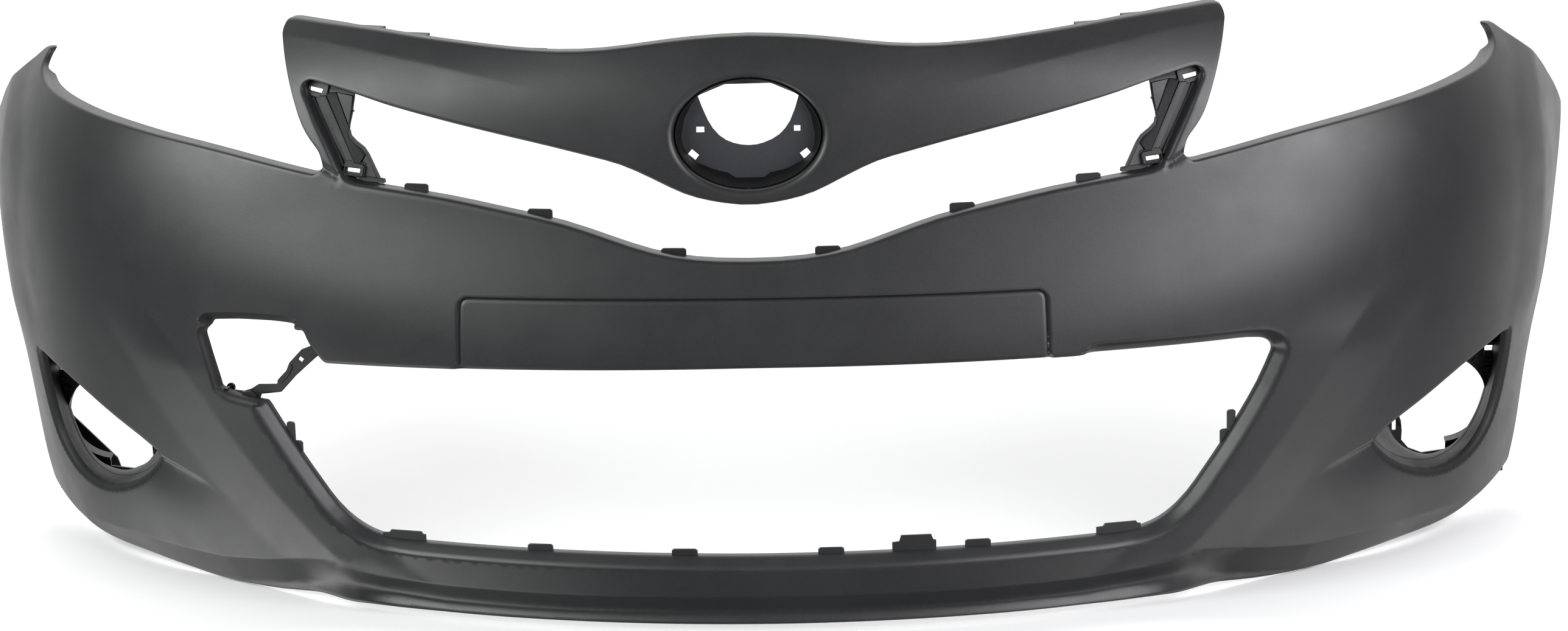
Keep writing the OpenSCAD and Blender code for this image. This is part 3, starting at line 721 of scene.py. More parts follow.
def mesh_object(name, verts, faces, mat, replaces=(), smooth=35.0, ride=True):
    me = bpy.data.meshes.new(name)
    me.from_pydata([tuple(v) for v in np.asarray(verts, float) * MM], [], [tuple(int(i) for i in f) for f in faces])
    me.validate()
    me.update()
    bm = bmesh.new()
    bm.from_mesh(me)
    bmesh.ops.recalc_face_normals(bm, faces=bm.faces)
    lim = math.radians(smooth)
    for f in bm.faces:
        f.smooth = True
    for e in bm.edges:
        if len(e.link_faces) != 2 or e.calc_face_angle(0) > lim:
            e.smooth = False
    bm.to_mesh(me)
    bm.free()
    ob = bpy.data.objects.new(name, me)
    bpy.context.scene.collection.objects.link(ob)
    me.materials.append(mat)
    if ride:
        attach(ob, "root")
    if replaces:
        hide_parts(*replaces)
    return ob


# ------------------------------------------------------------------ mesh helpers
def slab(outline, y0, y1, half=1):
    """A flat plate with the given outline in X and Z between two values of Y."""
    o = np.array(outline, float)
    if area2(o) < 0:
        o = o[::-1]
    n = len(o)
    v = np.array([(half * x, y, z) for y in (y0, y1) for x, z in o])
    f = [tuple(range(n)), tuple(range(2 * n - 1, n - 1, -1))]
    f += [(i, n + i, n + (i + 1) % n, (i + 1) % n) for i in range(n)]
    return v, f


def area2(o):
    return 0.5 * float(np.sum(o[:, 0] * np.roll(o[:, 1], -1) - np.roll(o[:, 0], -1) * o[:, 1]))


def lofted(rings):
    """A closed band through rings of points with the same count."""
    n, m = len(rings[0]), len(rings)
    v = np.vstack(rings)
    f = [(r * n + i, r * n + (i + 1) % n, ((r + 1) % m) * n + (i + 1) % n, ((r + 1) % m) * n + i)
         for r in range(m) for i in range(n)]
    return v, f


def joined(parts):
    vs, fs, k = [], [], 0
    for v, f in parts:
        vs.append(np.asarray(v, float))
        fs += [tuple(i + k for i in g) for g in f]
        k += len(v)
    return np.vstack(vs), fs


def mirrored(v, f):
    return np.asarray(v, float) * [-1, 1, 1], [tuple(reversed(g)) for g in f]


def bar(o, u, w, h, lo, hi, cut=0.5):
    """A block with eased edges: o is its origin, u, w and h its unit axes, lo and hi its corners along them."""
    c = [min(cut, 0.45 * (hi[k] - lo[k])) for k in range(3)]
    out = []
    for face in (0, 1):
        z = (lo[2], hi[2])[face]
        for dx, dy, dz in ((0, 0, 1), (1, 1, 0)):
            for x, y in ((lo[0], lo[1]), (hi[0], lo[1]), (hi[0], hi[1]), (lo[0], hi[1])):
                sx, sy = (1 if x == lo[0] else -1), (1 if y == lo[1] else -1)
                zz = z + (c[2] if face == 0 else -c[2]) * dz
                out.append(np.array(o) + np.array(u) * (x + sx * c[0] * dx) + np.array(w) * (y + sy * c[1] * dy) + np.array(h) * zz)
    f = [(7, 6, 5, 4)]
    for i in range(4):
        j = (i + 1) % 4
        f += [(4 + i, 4 + j, j, i), (i, j, 8 + j, 8 + i), (8 + i, 8 + j, 12 + j, 12 + i)]
    f += [(12, 13, 14, 15)]
    return np.array(out), f


def skin_axes(a):
    """Unit vectors at a place on the plan curve: along the skin, into the car and up."""
    h = math.radians(float(np.interp(abs(a), plan_s, plan_h))) * (1 if a >= 0 else -1)
    return np.array([math.cos(h), math.sin(h), 0]), np.array([-math.sin(h), math.cos(h), 0]), np.array([0, 0, 1.0])


# ------------------------------------------------------------------ fog lamp housings
lamp_y = 380 + Y0
arch_web = {1: [(793, 119), (783, 114), (727, 54.5), (721, 36), (771, 36), (778, 60), (788, 100)],
            -1: [(793, 126), (772, 125), (716, 65), (709, 42), (712, 36), (771, 36), (778, 60), (788, 100)]}
fog_rear = [[766, 211], [746, 209], [718, 203], [690, 193], [662, 176], [646, 158], [642, 138], [647, 110], [658, 80],
            [682, 58], [722, 56], [752, 76], [766, 112], [773, 160], [773, 196]]


def fog_rings():
    L = loop_data["fog_right"]
    p = L["p"]
    poly = np.array(fog_open, float)
    rear = np.array(fog_rear[::-1], float)
    n = len(poly)
    target = []
    for q in p:
        best, hit = 1e9, None
        for i in range(n):
            u, v = poly[i], poly[(i + 1) % n]
            e = v - u
            t = min(1, max(0, float((q - u) @ e) / float(e @ e)))
            d = np.linalg.norm(q - u - t * e)
            if d < best:
                best, hit = d, rear[i] * (1 - t) + rear[(i + 1) % n] * t
        target.append(hit)
    target = np.array(target)
    for _ in range(14):
        target = (np.roll(target, 1, 0) + 2 * target + np.roll(target, -1, 0)) / 4
    d0 = face_depth(p[:, 0], p[:, 1])[0]
    edge = pt(p[:, 0], p[:, 1], d0)
    run = fog_run(p[:, 0])
    xz = edge[:, [0, 2]]

    def outward(o):
        e = np.roll(o, -1, 0) - np.roll(o, 1, 0)
        e /= np.maximum(np.linalg.norm(e, axis=1), 1e-6)[:, None]
        m = np.stack([-e[:, 1], e[:, 0]], -1)
        for _ in range(6):
            m = (np.roll(m, 1, 0) + 2 * m + np.roll(m, -1, 0)) / 4
        return m / np.linalg.norm(m, axis=1)[:, None]

    m0, m1 = outward(xz), outward(target)

    def front(off, back):
        q = xz - m0 * off
        return np.stack([q[:, 0], edge[:, 1] + run + back, q[:, 1]], -1)

    def rear_at(off, y, limit=False):
        q = target + m1 * off
        if limit:
            q[:, 0] = np.minimum(q[:, 0], np.interp(q[:, 1], [20, 78, 112, 152, 212, 300], [750, 762, 771, 779, 787, 787]))
        return np.stack([q[:, 0], np.full(len(q), y), q[:, 1]], -1)

    inner0, outer0 = front(0.3, 0.4), front(-2.0, 0.4)
    lip = front(-0.2, 0.1)
    inner1, outer1 = front(0.5, 7), front(-1.7, 7)
    c0, c1 = rear_at(-3.2, lamp_y - 0.6), rear_at(-0.4, lamp_y - 3.4)
    step_a = inner1 * 0.42 + c0 * 0.58
    step_b = step_a + np.stack([-m0[:, 0] * 1.6, np.full(len(p), 0.8), -m0[:, 1] * 1.6], -1) * -1
    return [lip, inner0, inner1, step_a, step_b, c0, rear_at(13, lamp_y - 0.6, True), rear_at(13.4, lamp_y - 1.6, True),
            rear_at(13, lamp_y - 2.9, True), c1, outer1, outer0]


def build_fog_housings():
    v, f = lofted(fog_rings())
    ribs = []
    X, Y, Z = np.array([1.0, 0, 0]), np.array([0, 1.0, 0]), np.array([0, 0, 1.0])
    for z in (104, 112, 140, 149, 158, 167):
        ribs.append(bar((0, 0, 0), X, Y, Z, (759.5 if z < 130 else 758, lamp_y - 3.4, z), (768 if z < 130 else 771, lamp_y + 0.6, z + 1.6), 0.4))
    for x, z0, z1 in ((753.5, 174, 186), (768.4, 174, 186)):
        ribs.append(bar((0, 0, 0), X, Y, Z, (x, lamp_y - 5, z0), (x + 1.6, lamp_y + 0.6, z1), 0.4))
    ribs.append(bar((0, 0, 0), X, Y, Z, (755, lamp_y - 5, 186.2), (768.4, lamp_y + 0.6, 187.8), 0.4))
    ribs.append(bar((0, 0, 0), X, Y, Z, (654.5, lamp_y - 4, 86), (656, lamp_y + 0.6, 108), 0.4))
    for w in range(0, 150, 15):
        t = math.radians(w + 20)
        c, d = math.cos(t), math.sin(t)
        u, h = np.array([c, 0, d]), np.array([-d, 0, c])
        ribs.append(bar((710, 0, 126), u, Y, h, (50.4, lamp_y - 3.2, -0.7), (56.5, lamp_y + 0.5, 0.7), 0.3))
    rv, rf = joined(ribs)
    for side, half in (("right", 1), ("left", -1)):
        a, b = (v, f) if half > 0 else mirrored(v, f)
        mesh_object("fog_housing_" + side, a, b, mat_grey_black, ["fog_shroud_" + side], smooth=32)
        a, b = (rv, rf) if half > 0 else mirrored(rv, rf)
        mesh_object("fog_plate_ribs_" + side, a, b, mat_grey_black, smooth=25)


# ------------------------------------------------------------------ small tabs behind the grille edges
def edge_tab(a, z, w, h, depth=13.0, notch=0.0):
    u, inward, up = skin_axes(a)
    o = pt(np.array([a]), np.array([z]), depth)[0]
    k = w / 2
    if notch:
        prof = [(-k, -5), (k, -5), (k, h * 0.55), (k - 3, h * 0.62), (k - 5, h), (-k + 9, h), (-k + 7, h * 0.55), (-k, h * 0.5)]
    else:
        prof = [(-k, -5), (k, -5), (k, h - 1.6), (k - 2.2, h), (-k + 2.2, h), (-k, h - 1.6)]
    n = len(prof)
    v, f = [], []
    for t, g in ((0.0, 0.5), (0.5, 0.0), (2.1, 0.0), (2.6, 0.5)):
        for x, y in prof:
            cx = x - math.copysign(min(g, abs(x)), x)
            v.append(o + u * cx + inward * t + up * (y - (g if y > 0 else 0)))
    for r in range(3):
        f += [(r * n + i, r * n + (i + 1) % n, (r + 1) * n + (i + 1) % n, (r + 1) * n + i) for i in range(n)]
    f += [tuple(range(n))[::-1], tuple(range(3 * n, 4 * n))]
    return np.array(v), f


def build_edge_tabs():
    upper, lower = [], []
    for a, z in ((78, 386.5), (216, 423), (347, 445)):
        for half in (1, -1):
            upper.append(edge_tab(half * a, z, 25, 5.5))
    for a, z in ((74, 83), (223, 84)):
        for half in (1, -1):
            lower.append(edge_tab(half * a, z, 26, 5.5))
    lower.append(edge_tab(158, 84, 44, 14, notch=1))
    for half in (1, -1):
        lower.append(edge_tab(half * 371, 87, 46, 6.5, notch=1))
        lower.append(edge_tab(half * 492, 186, 9, 15, 15.0))
        lower.append(edge_tab(half * 485, 172, 9, 9, 16.0))
    v, f = joined(upper)
    mesh_object("upper_grille_tabs", v, f, mat_primer, smooth=25)
    v, f = joined(lower)
    mesh_object("lower_grille_tabs", v, f, mat_primer, smooth=25)


def plate(outline, holes, place, front, back, ease=0.5):
    """A plate with holes. place(p, depth) puts it in space; front and back give the depth over the plate."""
    loops = []
    for k, l in enumerate([outline] + list(holes)):
        l = np.array(l, float)
        if (area2(l) > 0) != (k == 0):
            l = l[::-1]
        loops.append(l)
    inset = [l + normals2(l)[0] * normals2(l)[1][:, None] * ease for l in loops]
    tri = tessellate_polygon([[Vector((x, z, 0)) for x, z in l] for l in loops])
    flat, flat_in = np.vstack(loops), np.vstack(inset)
    n = len(flat)
    dep = lambda g, p: g(p[:, 0], p[:, 1]) if callable(g) else np.full(len(p), float(g))
    v = np.vstack([place(flat_in, dep(front, flat_in)), place(flat, dep(front, flat) + ease),
                   place(flat, dep(back, flat) - ease * 0.6), place(flat_in, dep(back, flat_in))])
    f = [tuple(t) for t in tri] + [tuple(3 * n + i for i in reversed(t)) for t in tri]
    o = 0
    for l in loops:
        m = len(l)
        for i in range(m):
            j = (i + 1) % m
            for r in range(3):
                f.append((r * n + o + i, r * n + o + j, (r + 1) * n + o + j, (r + 1) * n + o + i))
        o += m
    return v, f


def on_skin(half):
    return lambda p, t: pt(half * p[:, 0], p[:, 1], t)


def slope(p0, p1, d0, d1, along=False):
    """Depth that goes from d0 to d1 across a line p0 to p1; the along argument is not used."""
    e = np.array(p1, float) - np.array(p0, float)
    l = float(np.hypot(*e))
    e = e / l
    return lambda a, z: d0 + (d1 - d0) * np.clip(((a - p0[0]) * e[0] + (z - p0[1]) * e[1]) / l, -0.3, 1.3)


# ------------------------------------------------------------------ corner brackets of the upper grille
top_slot = [(473, 539.2), (456.7, 537.2), (458.1, 532.7), (473.3, 535.2)]
low_slot = [(422.5, 464.1), (407.9, 463.1), (408.5, 458.5), (423.1, 459.9)]


def grown(p, d):
    q = np.array(p, float)
    c = q.mean(0)
    e = q - c
    return c + e + np.sign(e) * d


def build_brackets():
    back = [(470, 547.3), (476.5, 543.5), (475.6, 537), (461, 515), (440.5, 485), (428, 462.5), (420, 455.5), (405, 451),
            (383, 449), (381, 450.3), (382, 453.6), (387.8, 454.3), (401, 476.7), (406.1, 482.5), (415.1, 488.1), (421.3, 493.7),
            (423.2, 499.5), (423, 504.6), (421, 516.1), (419.3, 517.4), (421, 518.8), (420.3, 533.6), (419.5, 538.3), (440, 542.4), (460, 546.6)]
    for side, half in (("right", 1), ("left", -1)):
        P = on_skin(half)
        parts = [plate(back, [grown(top_slot, 0.6), grown(low_slot, 0.6)], P, 15.0, 17.4, 0.4)]
        parts.append(plate([(477, 542.5), (475, 537.5), (470, 530.3), (452, 527.5), (450.5, 541.3), (462, 544.5), (470, 546)],
                           [top_slot], P, 12.2, 15.1, 0.5))
        # outboard rail, the groove and the bright sloped rib beside it
        parts.append(plate([(470.5, 529), (466.5, 529.6), (425, 465.5), (429.5, 463.5)], [], P,
                           slope((425, 470), (432, 466), 11.2, 12.6), 15.1, 0.5))
        parts.append(plate([(459.6, 531.2), (452.4, 531.6), (414.8, 470.6), (421.8, 470.2)], [], P,
                           slope((440.2, 501), (434.5, 504.6), 9.4, 8.8), 15.1, 0.35))
        # thin bright ridge and the broad face that falls away inboard
        parts.append(plate([(452.6, 532), (451.2, 532.2), (413.2, 469.6), (414.6, 469.2)], [], P, 8.2, 15.1, 0.3))
        parts.append(plate([(451.6, 533.6), (441.4, 534.8), (436, 525), (424.2, 504), (422.6, 494.4), (415, 488.4), (406.4, 483),
                            (402.5, 478), (409, 468.5), (413.6, 469.6)], [], P,
                           slope((433, 500), (422, 506.7), 9.0, 14.4), 15.1, 0.4))
        # small gusset beside it, and the raised border along the inboard edge
        parts.append(plate([(440.6, 534.6), (421.6, 532.6), (421.8, 519.4), (423.6, 505.6)], [], P,
                           slope((440, 530), (421, 524), 13.4, 12.2), 15.1, 0.4))
        parts.append(plate([(423.4, 499.5), (421.6, 493.5), (415.4, 487.8), (406.4, 482.2), (401.4, 476.5), (388.2, 454.4), (386.2, 455.2),
                            (399.4, 477.8), (404.6, 484), (414, 490), (419.9, 495), (421.6, 500)], [], P, 11.0, 15.1, 0.4))
        parts.append(plate([(409, 468), (402, 477), (389, 455.6), (404.2, 455.8), (403.4, 466)], [], P,
                           slope((405, 462), (393, 462), 13.8, 11.6), 15.1, 0.4))
        # box round the lower slot
        parts.append(plate([(424.6, 466), (424, 469.8), (421, 471.8), (417, 471.8), (413.6, 469.6), (404.8, 468.4), (402.8, 466),
                            (404.2, 456.6), (409, 456.2), (425.4, 457.4)], [grown(low_slot, 1.2)], P, 8.6, 12.0, 0.5))
        parts.append(plate([(425.8, 466), (424.2, 471), (402.6, 469), (403.6, 455.4), (426.4, 456)], [low_slot], P, 12.0, 15.1, 0.4))
        v, f = joined(parts)
        mesh_object("grille_bracket_" + side, v, f, mat_black, ["grille_corner_bracket_" + side], smooth=24)


# ------------------------------------------------------------------ emblem seat
moon = [(-49.7, 536.9), (-45.6, 525.5), (-40.2, 512.8), (-35.4, 504.6), (-29.2, 497.5), (-22.6, 492.8), (-15.5, 489.8), (-8, 488),
        (-0.5, 487.4), (7, 487.9), (13.8, 489.6), (22.4, 493), (30, 497.8), (35.6, 503.6), (40.6, 511), (45.6, 523), (49.7, 536.5)]
seat_low = [(56, 527.5), (61.8, 516.2), (65.2, 498.5), (64.4, 488), (62.3, 480.9), (53.3, 472.2), (36.8, 463.9), (28, 462),
            (20.3, 460.1), (14, 455.5), (-14, 455.5), (-21.3, 460.5), (-28, 462), (-36.3, 464.6), (-53.2, 471.4), (-61.2, 479.7), (-65.8, 488), (-67, 498),
            (-63.5, 515), (-57, 527.5)]
seat_top = [(-49.7, 536.9), (-22.6, 547.8), (22.3, 548.3), (49.7, 536.5)]


def build_emblem_seat():
    slots = [[(-51.7, 506.4), (-43.8, 506.3), (-43.8, 500.7), (-51.7, 500.7)], [(44.3, 506.4), (50.6, 506.3), (50.5, 500.7), (44.3, 500.7)],
             [(-56.4, 484.4), (-49.4, 478.5), (-53.3, 473.6), (-60.6, 479.6)], [(56.5, 484.2), (60.6, 479.2), (53.6, 473.4), (49.4, 478.9)]]
    level = lambda z: 80 + Y0 + (z - 503) * 0.105

    def flat(p, t):
        return np.stack([p[:, 0], level(p[:, 1]) + t, p[:, 1]], -1)

    fine = [np.array(m, float) for m in moon]
    outline = [tuple(q) for q in fine] + seat_low
    fv, ff = plate(outline, slots, flat, 0.0, 2.2, 0.3)
    mesh_object("emblem_seat_floor", fv, ff, mat_inner, ["emblem_seat"], smooth=24)
    # the wall between the skin's ring and the floor, with its mounting flange; its black plastic is made darker still
    # as painted shade
    rim = seat_low + seat_top
    k = 132
    ang = np.linspace(0, 2 * math.pi, k + 1)[:-1]
    hit = []
    for w in ang:
        d = np.array([math.cos(w), math.sin(w)])
        best = 0
        for i in range(len(rim)):
            u, v = np.array(rim[i], float) - (0, 503), np.array(rim[(i + 1) % len(rim)], float) - (0, 503)
            e = v - u
            den = d[0] * -e[1] + d[1] * e[0]
            if abs(den) < 1e-9:
                continue
            r = (u[0] * -e[1] + u[1] * e[0]) / den
            s = (d[0] * u[1] - d[1] * u[0]) / den
            if r > 0 and -1e-6 <= s <= 1 + 1e-6:
                best = max(best, r)
        hit.append(d * best + (0, 503))
    hit = np.array(hit)
    par = np.arctan2((hit[:, 1] - 503) / 53, hit[:, 0] / 76)

    def oval(m, t):
        a, z = 76 * m * np.cos(par), 503 + 53 * m * np.sin(par)
        return pt(a, z, t)

    c = np.array([0, 503.0])
    wide = c + (hit - c) * 1.03
    rings = [oval(0.965, 6.0), np.stack([hit[:, 0], level(hit[:, 1]) - 0.6, hit[:, 1]], -1) * 0.5 + oval(0.955, 9.0) * 0.5,
             np.stack([hit[:, 0], level(hit[:, 1]) + 0.3, hit[:, 1]], -1), np.stack([hit[:, 0], level(hit[:, 1]) + 2.4, hit[:, 1]], -1),
             np.stack([wide[:, 0], level(wide[:, 1]) + 2.0, wide[:, 1]], -1), oval(1.035, 11.0), oval(1.045, 6.0), oval(1.12, 5.6), oval(1.12, 3.4),
             oval(1.065, 4.0), oval(1.035, 9.6), oval(0.975, 9.6), oval(0.975, 6.0)]
    v, f = lofted(rings)
    # the wall's near-black material paints the shade of the recess
    mesh_object("emblem_seat_wall", v, f, mat_black_wall_shade, smooth=30)


# ------------------------------------------------------------------ strap below the tow-eye opening
def build_tow_strap():
    up = [(436, 297), (446, 293.5), (456.7, 287.1), (468.1, 282.3), (483.6, 266.8), (488.1, 257.9), (499.4, 246.9), (500.8, 242.2),
          (523.0, 239.9), (532.0, 234.3), (540.7, 231.3), (562, 232)]
    lo = [(562, 221), (542.3, 221.1), (524.4, 220.8), (520.7, 229.6), (503.5, 232.6), (496.8, 234.0), (477.2, 253.7), (451.3, 276.0), (436, 284)]
    slot = [(470.2, 275.0), (466.2, 272.2), (469.3, 268.2), (473.1, 271.0)]
    P = on_skin(-1)
    parts = [plate(up + lo, [slot], P, 12.4, 15.0, 0.5)]
    # stiffening rib along the middle, and the clip at the outboard end
    mid_u = [(458, 284), (467, 280), (481.5, 265), (486, 256), (496.6, 245.4)]
    mid_l = [(494.8, 243.4), (484, 254), (479.6, 263), (466, 277.4), (457, 281.4)]
    parts.append(plate(mid_u[2:] + mid_l[:3], [], P, 11.0, 12.6, 0.4))
    parts.append(plate([(541, 231), (541, 221.6), (526, 221.4), (525, 229), (531, 233)], [], P, 9.6, 12.6, 0.5))
    parts.append(plate([(448.9, 290), (448.9, 279.6), (454, 276.6), (459, 279), (462, 284)], [], P, 10.4, 12.6, 0.5))
    v, f = joined(parts)
    mesh_object("tow_eye_strap", v, f, mat_black, ["tow_eye_bridge"], smooth=24)


# ------------------------------------------------------------------ materials
def new_material(name):
    m = bpy.data.materials.new(name)
    m.use_nodes = True
    nt = m.node_tree
    for n in list(nt.nodes):
        nt.nodes.remove(n)
    out = nt.nodes.new("ShaderNodeOutputMaterial")
    bs = nt.nodes.new("ShaderNodeBsdfPrincipled")
    nt.links.new(bs.outputs["BSDF"], out.inputs["Surface"])
    return m, nt, bs


def noise(nt, coord, scale, detail=3.0, rough=0.55):
    n = nt.nodes.new("ShaderNodeTexNoise")
    n.inputs["Scale"].default_value = scale
    n.inputs["Detail"].default_value = detail
    n.inputs["Roughness"].default_value = rough
    nt.links.new(coord, n.inputs["Vector"])
    return n


def ramp(nt, fac, stops):
    r = nt.nodes.new("ShaderNodeValToRGB")
    el = r.color_ramp.elements
    while len(el) > 2:
        el.remove(el[-1])
    el[0].position, el[0].color = stops[0][0], (*stops[0][1], 1)
    el[1].position, el[1].color = stops[-1][0], (*stops[-1][1], 1)
    for pos, col in stops[1:-1]:
        e = el.new(pos)
        e.color = (*col, 1)
    nt.links.new(fac, r.inputs["Fac"])
    return r


def mapped(nt, value, lo, hi, out_lo, out_hi):
    n = nt.nodes.new("ShaderNodeMapRange")
    for key, v in (("From Min", lo), ("From Max", hi), ("To Min", out_lo), ("To Max", out_hi)):
        n.inputs[key].default_value = v
    nt.links.new(value, n.inputs["Value"])
    return n


def plastic(name, dark, light, rough_lo, rough_hi, grain, bump, specular=0.5):
    m, nt, bs = new_material(name)
    tc = nt.nodes.new("ShaderNodeTexCoord")
    co = tc.outputs["Object"]
    broad = noise(nt, co, 3.2, 2.0)
    fine = noise(nt, co, 380.0, 2.0, 0.6)
    mix = nt.nodes.new("ShaderNodeMix")
    mix.data_type = "FLOAT"
    mix.inputs[0].default_value = 0.45
    nt.links.new(broad.outputs["Fac"], mix.inputs[2])
    nt.links.new(fine.outputs["Fac"], mix.inputs[3])
    col = ramp(nt, mix.outputs[0], [(0.32, dark), (0.70, light)])
    nt.links.new(col.outputs["Color"], bs.inputs["Base Color"])
    rn = noise(nt, co, 22.0, 4.0)
    rr = mapped(nt, rn.outputs["Fac"], 0.3, 0.7, rough_lo, rough_hi)
    nt.links.new(rr.outputs[0], bs.inputs["Roughness"])
    bn = noise(nt, co, grain, 2.0, 0.5)
    bp = nt.nodes.new("ShaderNodeBump")
    bp.inputs["Strength"].default_value = bump
    bp.inputs["Distance"].default_value = 0.0006
    nt.links.new(bn.outputs["Fac"], bp.inputs["Height"])
    nt.links.new(bp.outputs["Normal"], bs.inputs["Normal"])
    bs.inputs["Specular IOR Level"].default_value = specular
    return m


mat_primer = plastic("primer_grey", (0.0125, 0.0128, 0.0135), (0.0200, 0.0204, 0.0216), 0.35, 0.42, 900.0, 0.10, 0.5)
mat_inner = plastic("primer_inner", (0.019, 0.0195, 0.0235), (0.028, 0.0285, 0.034), 0.46, 0.56, 700.0, 0.15, 0.45)
# darker primer for the pocket chamfers and flanges: painted shade standing in for the shade inside the fog and tow-eye
# pockets
mat_pocket_shade = plastic("primer_pocket_shade", (0.0085, 0.0088, 0.0094), (0.0135, 0.0138, 0.0148), 0.50, 0.60, 800.0, 0.12, 0.32)
# black plastic darker than the other black parts: painted shade on the emblem seat's wall
mat_black_wall_shade = plastic("black_wall_painted_shade", (0.003, 0.003, 0.0034), (0.006, 0.006, 0.0066), 0.60, 0.72, 1000.0, 0.25, 0.22)
mat_grey_black = plastic("moulded_black_rear", (0.016, 0.016, 0.018), (0.028, 0.028, 0.031), 0.50, 0.62, 1100.0, 0.25, 0.45)
mat_black = plastic("bare_black_plastic", (0.006, 0.006, 0.007), (0.012, 0.012, 0.013), 0.42, 0.55, 1200.0, 0.30, 0.45)


def steel(name="zinc_steel", dim=1.0):
    m, nt, bs = new_material(name)
    tc = nt.nodes.new("ShaderNodeTexCoord")
    n = noise(nt, tc.outputs["Object"], 260.0, 4.0)
    col = ramp(nt, n.outputs["Fac"], [(0.3, (0.34 * dim, 0.34 * dim, 0.33 * dim)), (0.7, (0.55 * dim, 0.55 * dim, 0.53 * dim))])
    nt.links.new(col.outputs["Color"], bs.inputs["Base Color"])
    rr = mapped(nt, n.outputs["Fac"], 0.3, 0.7, 0.28, 0.48)
    nt.links.new(rr.outputs[0], bs.inputs["Roughness"])
    bs.inputs["Metallic"].default_value = 1.0
    return m


mat_steel = steel()
mat_dark_steel = steel("blackened_steel", 0.06)

# ------------------------------------------------------------------ pieces
sv, sf, pocket_shade_faces = build_skin()
for half in (1, -1):
    wv, wf = slab(arch_web[half], 133, 136, half)
    sf = sf + [tuple(i + len(sv) for i in f) for f in wf]
    sv = np.vstack([sv, wv])
skin = mesh_object("bumper_skin_moulding", sv, sf, mat_primer, ["bumper_skin"], smooth=38)
# the fog and tow-eye pocket edges take the darker primer, which paints the shade inside the pockets
skin.data.materials.append(mat_pocket_shade)
for i in pocket_shade_faces:
    skin.data.polygons[i].material_index = 1

build_fog_housings()
build_edge_tabs()
build_brackets()
build_emblem_seat()
build_tow_strap()

for node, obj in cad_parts.items():
    if node == "bumper_skin":
        continue
    obj.data.materials.clear()
    if node == "tow_bridge_screws":
        obj.data.materials.append(mat_dark_steel)
    elif node.endswith(("screws_left", "screws_right", "_screws")) or "clip_nuts" in node:
        obj.data.materials.append(mat_steel)
    elif node == "emblem_seat":
        obj.data.materials.append(mat_inner)
    else:
        obj.data.materials.append(mat_black)

# ------------------------------------------------------------------ stage
floor = bpy.data.meshes.new("floor")
floor.from_pydata([(-30, -30, -0.0012), (30, -30, -0.0012), (30, 30, -0.0012), (-30, 30, -0.0012)], [], [(0, 1, 2, 3)])
floor_ob = bpy.data.objects.new("floor", floor)
bpy.context.scene.collection.objects.link(floor_ob)
fm, fnt, fbs = new_material("floor_white")
fbs.inputs["Base Color"].default_value = (0.95, 0.95, 0.95, 1)
fbs.inputs["Roughness"].default_value = 0.9
fbs.inputs["Specular IOR Level"].default_value = 0.1
floor.materials.append(fm)
floor_ob.visible_glossy = False

world = bpy.data.worlds.new("studio")
bpy.context.scene.world = world
world.use_nodes = True
wn = world.node_tree
for n in list(wn.nodes):
    wn.nodes.remove(n)
wo = wn.nodes.new("ShaderNodeOutputWorld")
bg = wn.nodes.new("ShaderNodeBackground")
wtc = wn.nodes.new("ShaderNodeTexCoord")
sep = wn.nodes.new("ShaderNodeSeparateXYZ")
wn.links.new(wtc.outputs["Generated"], sep.inputs[0])


def wmath(op, x, y=None):
    n = wn.nodes.new("ShaderNodeMath")
    n.operation = op
    for k, v in enumerate((x, y)):
        if isinstance(v, (int, float)):
            n.inputs[k].default_value = v
        elif v is not None:
            wn.links.new(v, n.inputs[k])
    return n.outputs[0]


def wrange(v, lo, hi, out_lo, out_hi):
    n = wn.nodes.new("ShaderNodeMapRange")
    n.interpolation_type = "SMOOTHSTEP"
    for key, x in (("From Min", lo), ("From Max", hi), ("To Min", out_lo), ("To Max", out_hi)):
        n.inputs[key].default_value = x
    wn.links.new(v, n.inputs["Value"])
    return n.outputs[0]


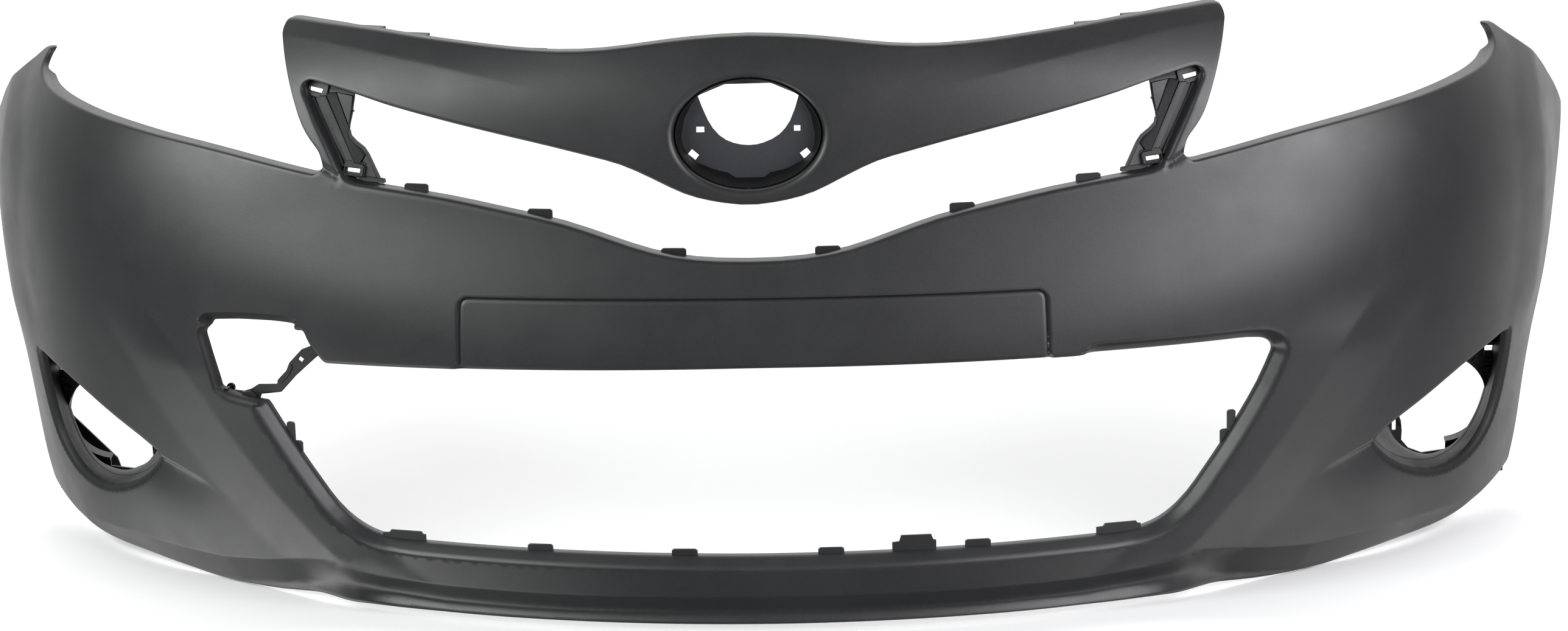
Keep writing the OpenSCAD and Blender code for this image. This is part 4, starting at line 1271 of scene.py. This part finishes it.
# A dim room in front, a bright wall behind and two low fill panels at the sides, the right one weaker.
behind = wrange(sep.outputs["Y"], 0.02, 0.95, 0.06, 1.2)
dx = wmath("SUBTRACT", wmath("ABSOLUTE", sep.outputs["X"]), 0.62)
dz = wmath("ADD", sep.outputs["Z"], 0.62)
away = wmath("SQRT", wmath("ADD", wmath("MULTIPLY", dx, dx), wmath("MULTIPLY", dz, dz)))
fill = wrange(away, 0.05, 0.30, 5.0, 0.0)
fill = wmath("MULTIPLY", fill, wrange(sep.outputs["Y"], 0.1, 0.5, 1.0, 0.0))
fill = wmath("MULTIPLY", fill, wrange(sep.outputs["X"], -0.2, 0.2, 1.0, 0.5))
wn.links.new(wmath("ADD", behind, fill), bg.inputs["Color"])
bg.inputs["Strength"].default_value = 1.0
wn.links.new(bg.outputs[0], wo.inputs[0])


def area(name, loc, target, size, size_y, power, color=(1, 1, 1)):
    li = bpy.data.lights.new(name, "AREA")
    li.shape = "RECTANGLE"
    li.size, li.size_y = size, size_y
    li.energy = power
    li.color = color
    ob = bpy.data.objects.new(name, li)
    bpy.context.scene.collection.objects.link(ob)
    ob.location = loc
    ob.rotation_mode = "QUATERNION"
    ob.rotation_quaternion = (Vector(target) - Vector(loc)).to_track_quat("-Z", "Y")
    return ob


area("key_left", (-2.86, -2.86, 2.4), (0, 0, 0.3), 2.4, 2.5, 135, (0.94, 1.0, 0.96))
area("key_right", (2.76, -2.96, 1.75), (0, 0, 0.3), 2.4, 3.2, 155, (0.97, 0.95, 1.0))
area("floor_back", (0, 3.0, 3.5), (0, 3.01, 0), 6.0, 5.0, 185)
area("floor_left", (-1.9, -0.9, 1.1), (-1.35, -0.75, 0), 1.0, 0.8, 16)
area("floor_right", (1.9, -0.9, 1.1), (1.35, -0.75, 0), 1.0, 0.8, 16)

# ------------------------------------------------------------------ camera
cam = bpy.data.cameras.new("camera")
cam.sensor_fit = "HORIZONTAL"
cam.sensor_width = 36.0
cam.lens = 102.41
cam.shift_x = 0.0218
cam.clip_start, cam.clip_end = 0.05, 100.0
cam_ob = bpy.data.objects.new("camera", cam)
bpy.context.scene.collection.objects.link(cam_ob)
fwd = Vector((-0.05165, 0.95988, -0.27564)).normalized()
r0 = Vector((0.99856, 0.05373, 0.0)).normalized()
u0 = r0.cross(fwd).normalized()
rho = math.radians(-1.65)
R = math.cos(rho) * r0 + math.sin(rho) * u0
U = -math.sin(rho) * r0 + math.cos(rho) * u0
M = Matrix(((R.x, U.x, -fwd.x), (R.y, U.y, -fwd.y), (R.z, U.z, -fwd.z)))
cam_ob.rotation_mode = "QUATERNION"
cam_ob.rotation_quaternion = M.to_quaternion()
cam_ob.location = (0.2244, -4.4549, 1.5337)
bpy.context.scene.camera = cam_ob

bpy.context.scene.view_settings.view_transform = "Standard"
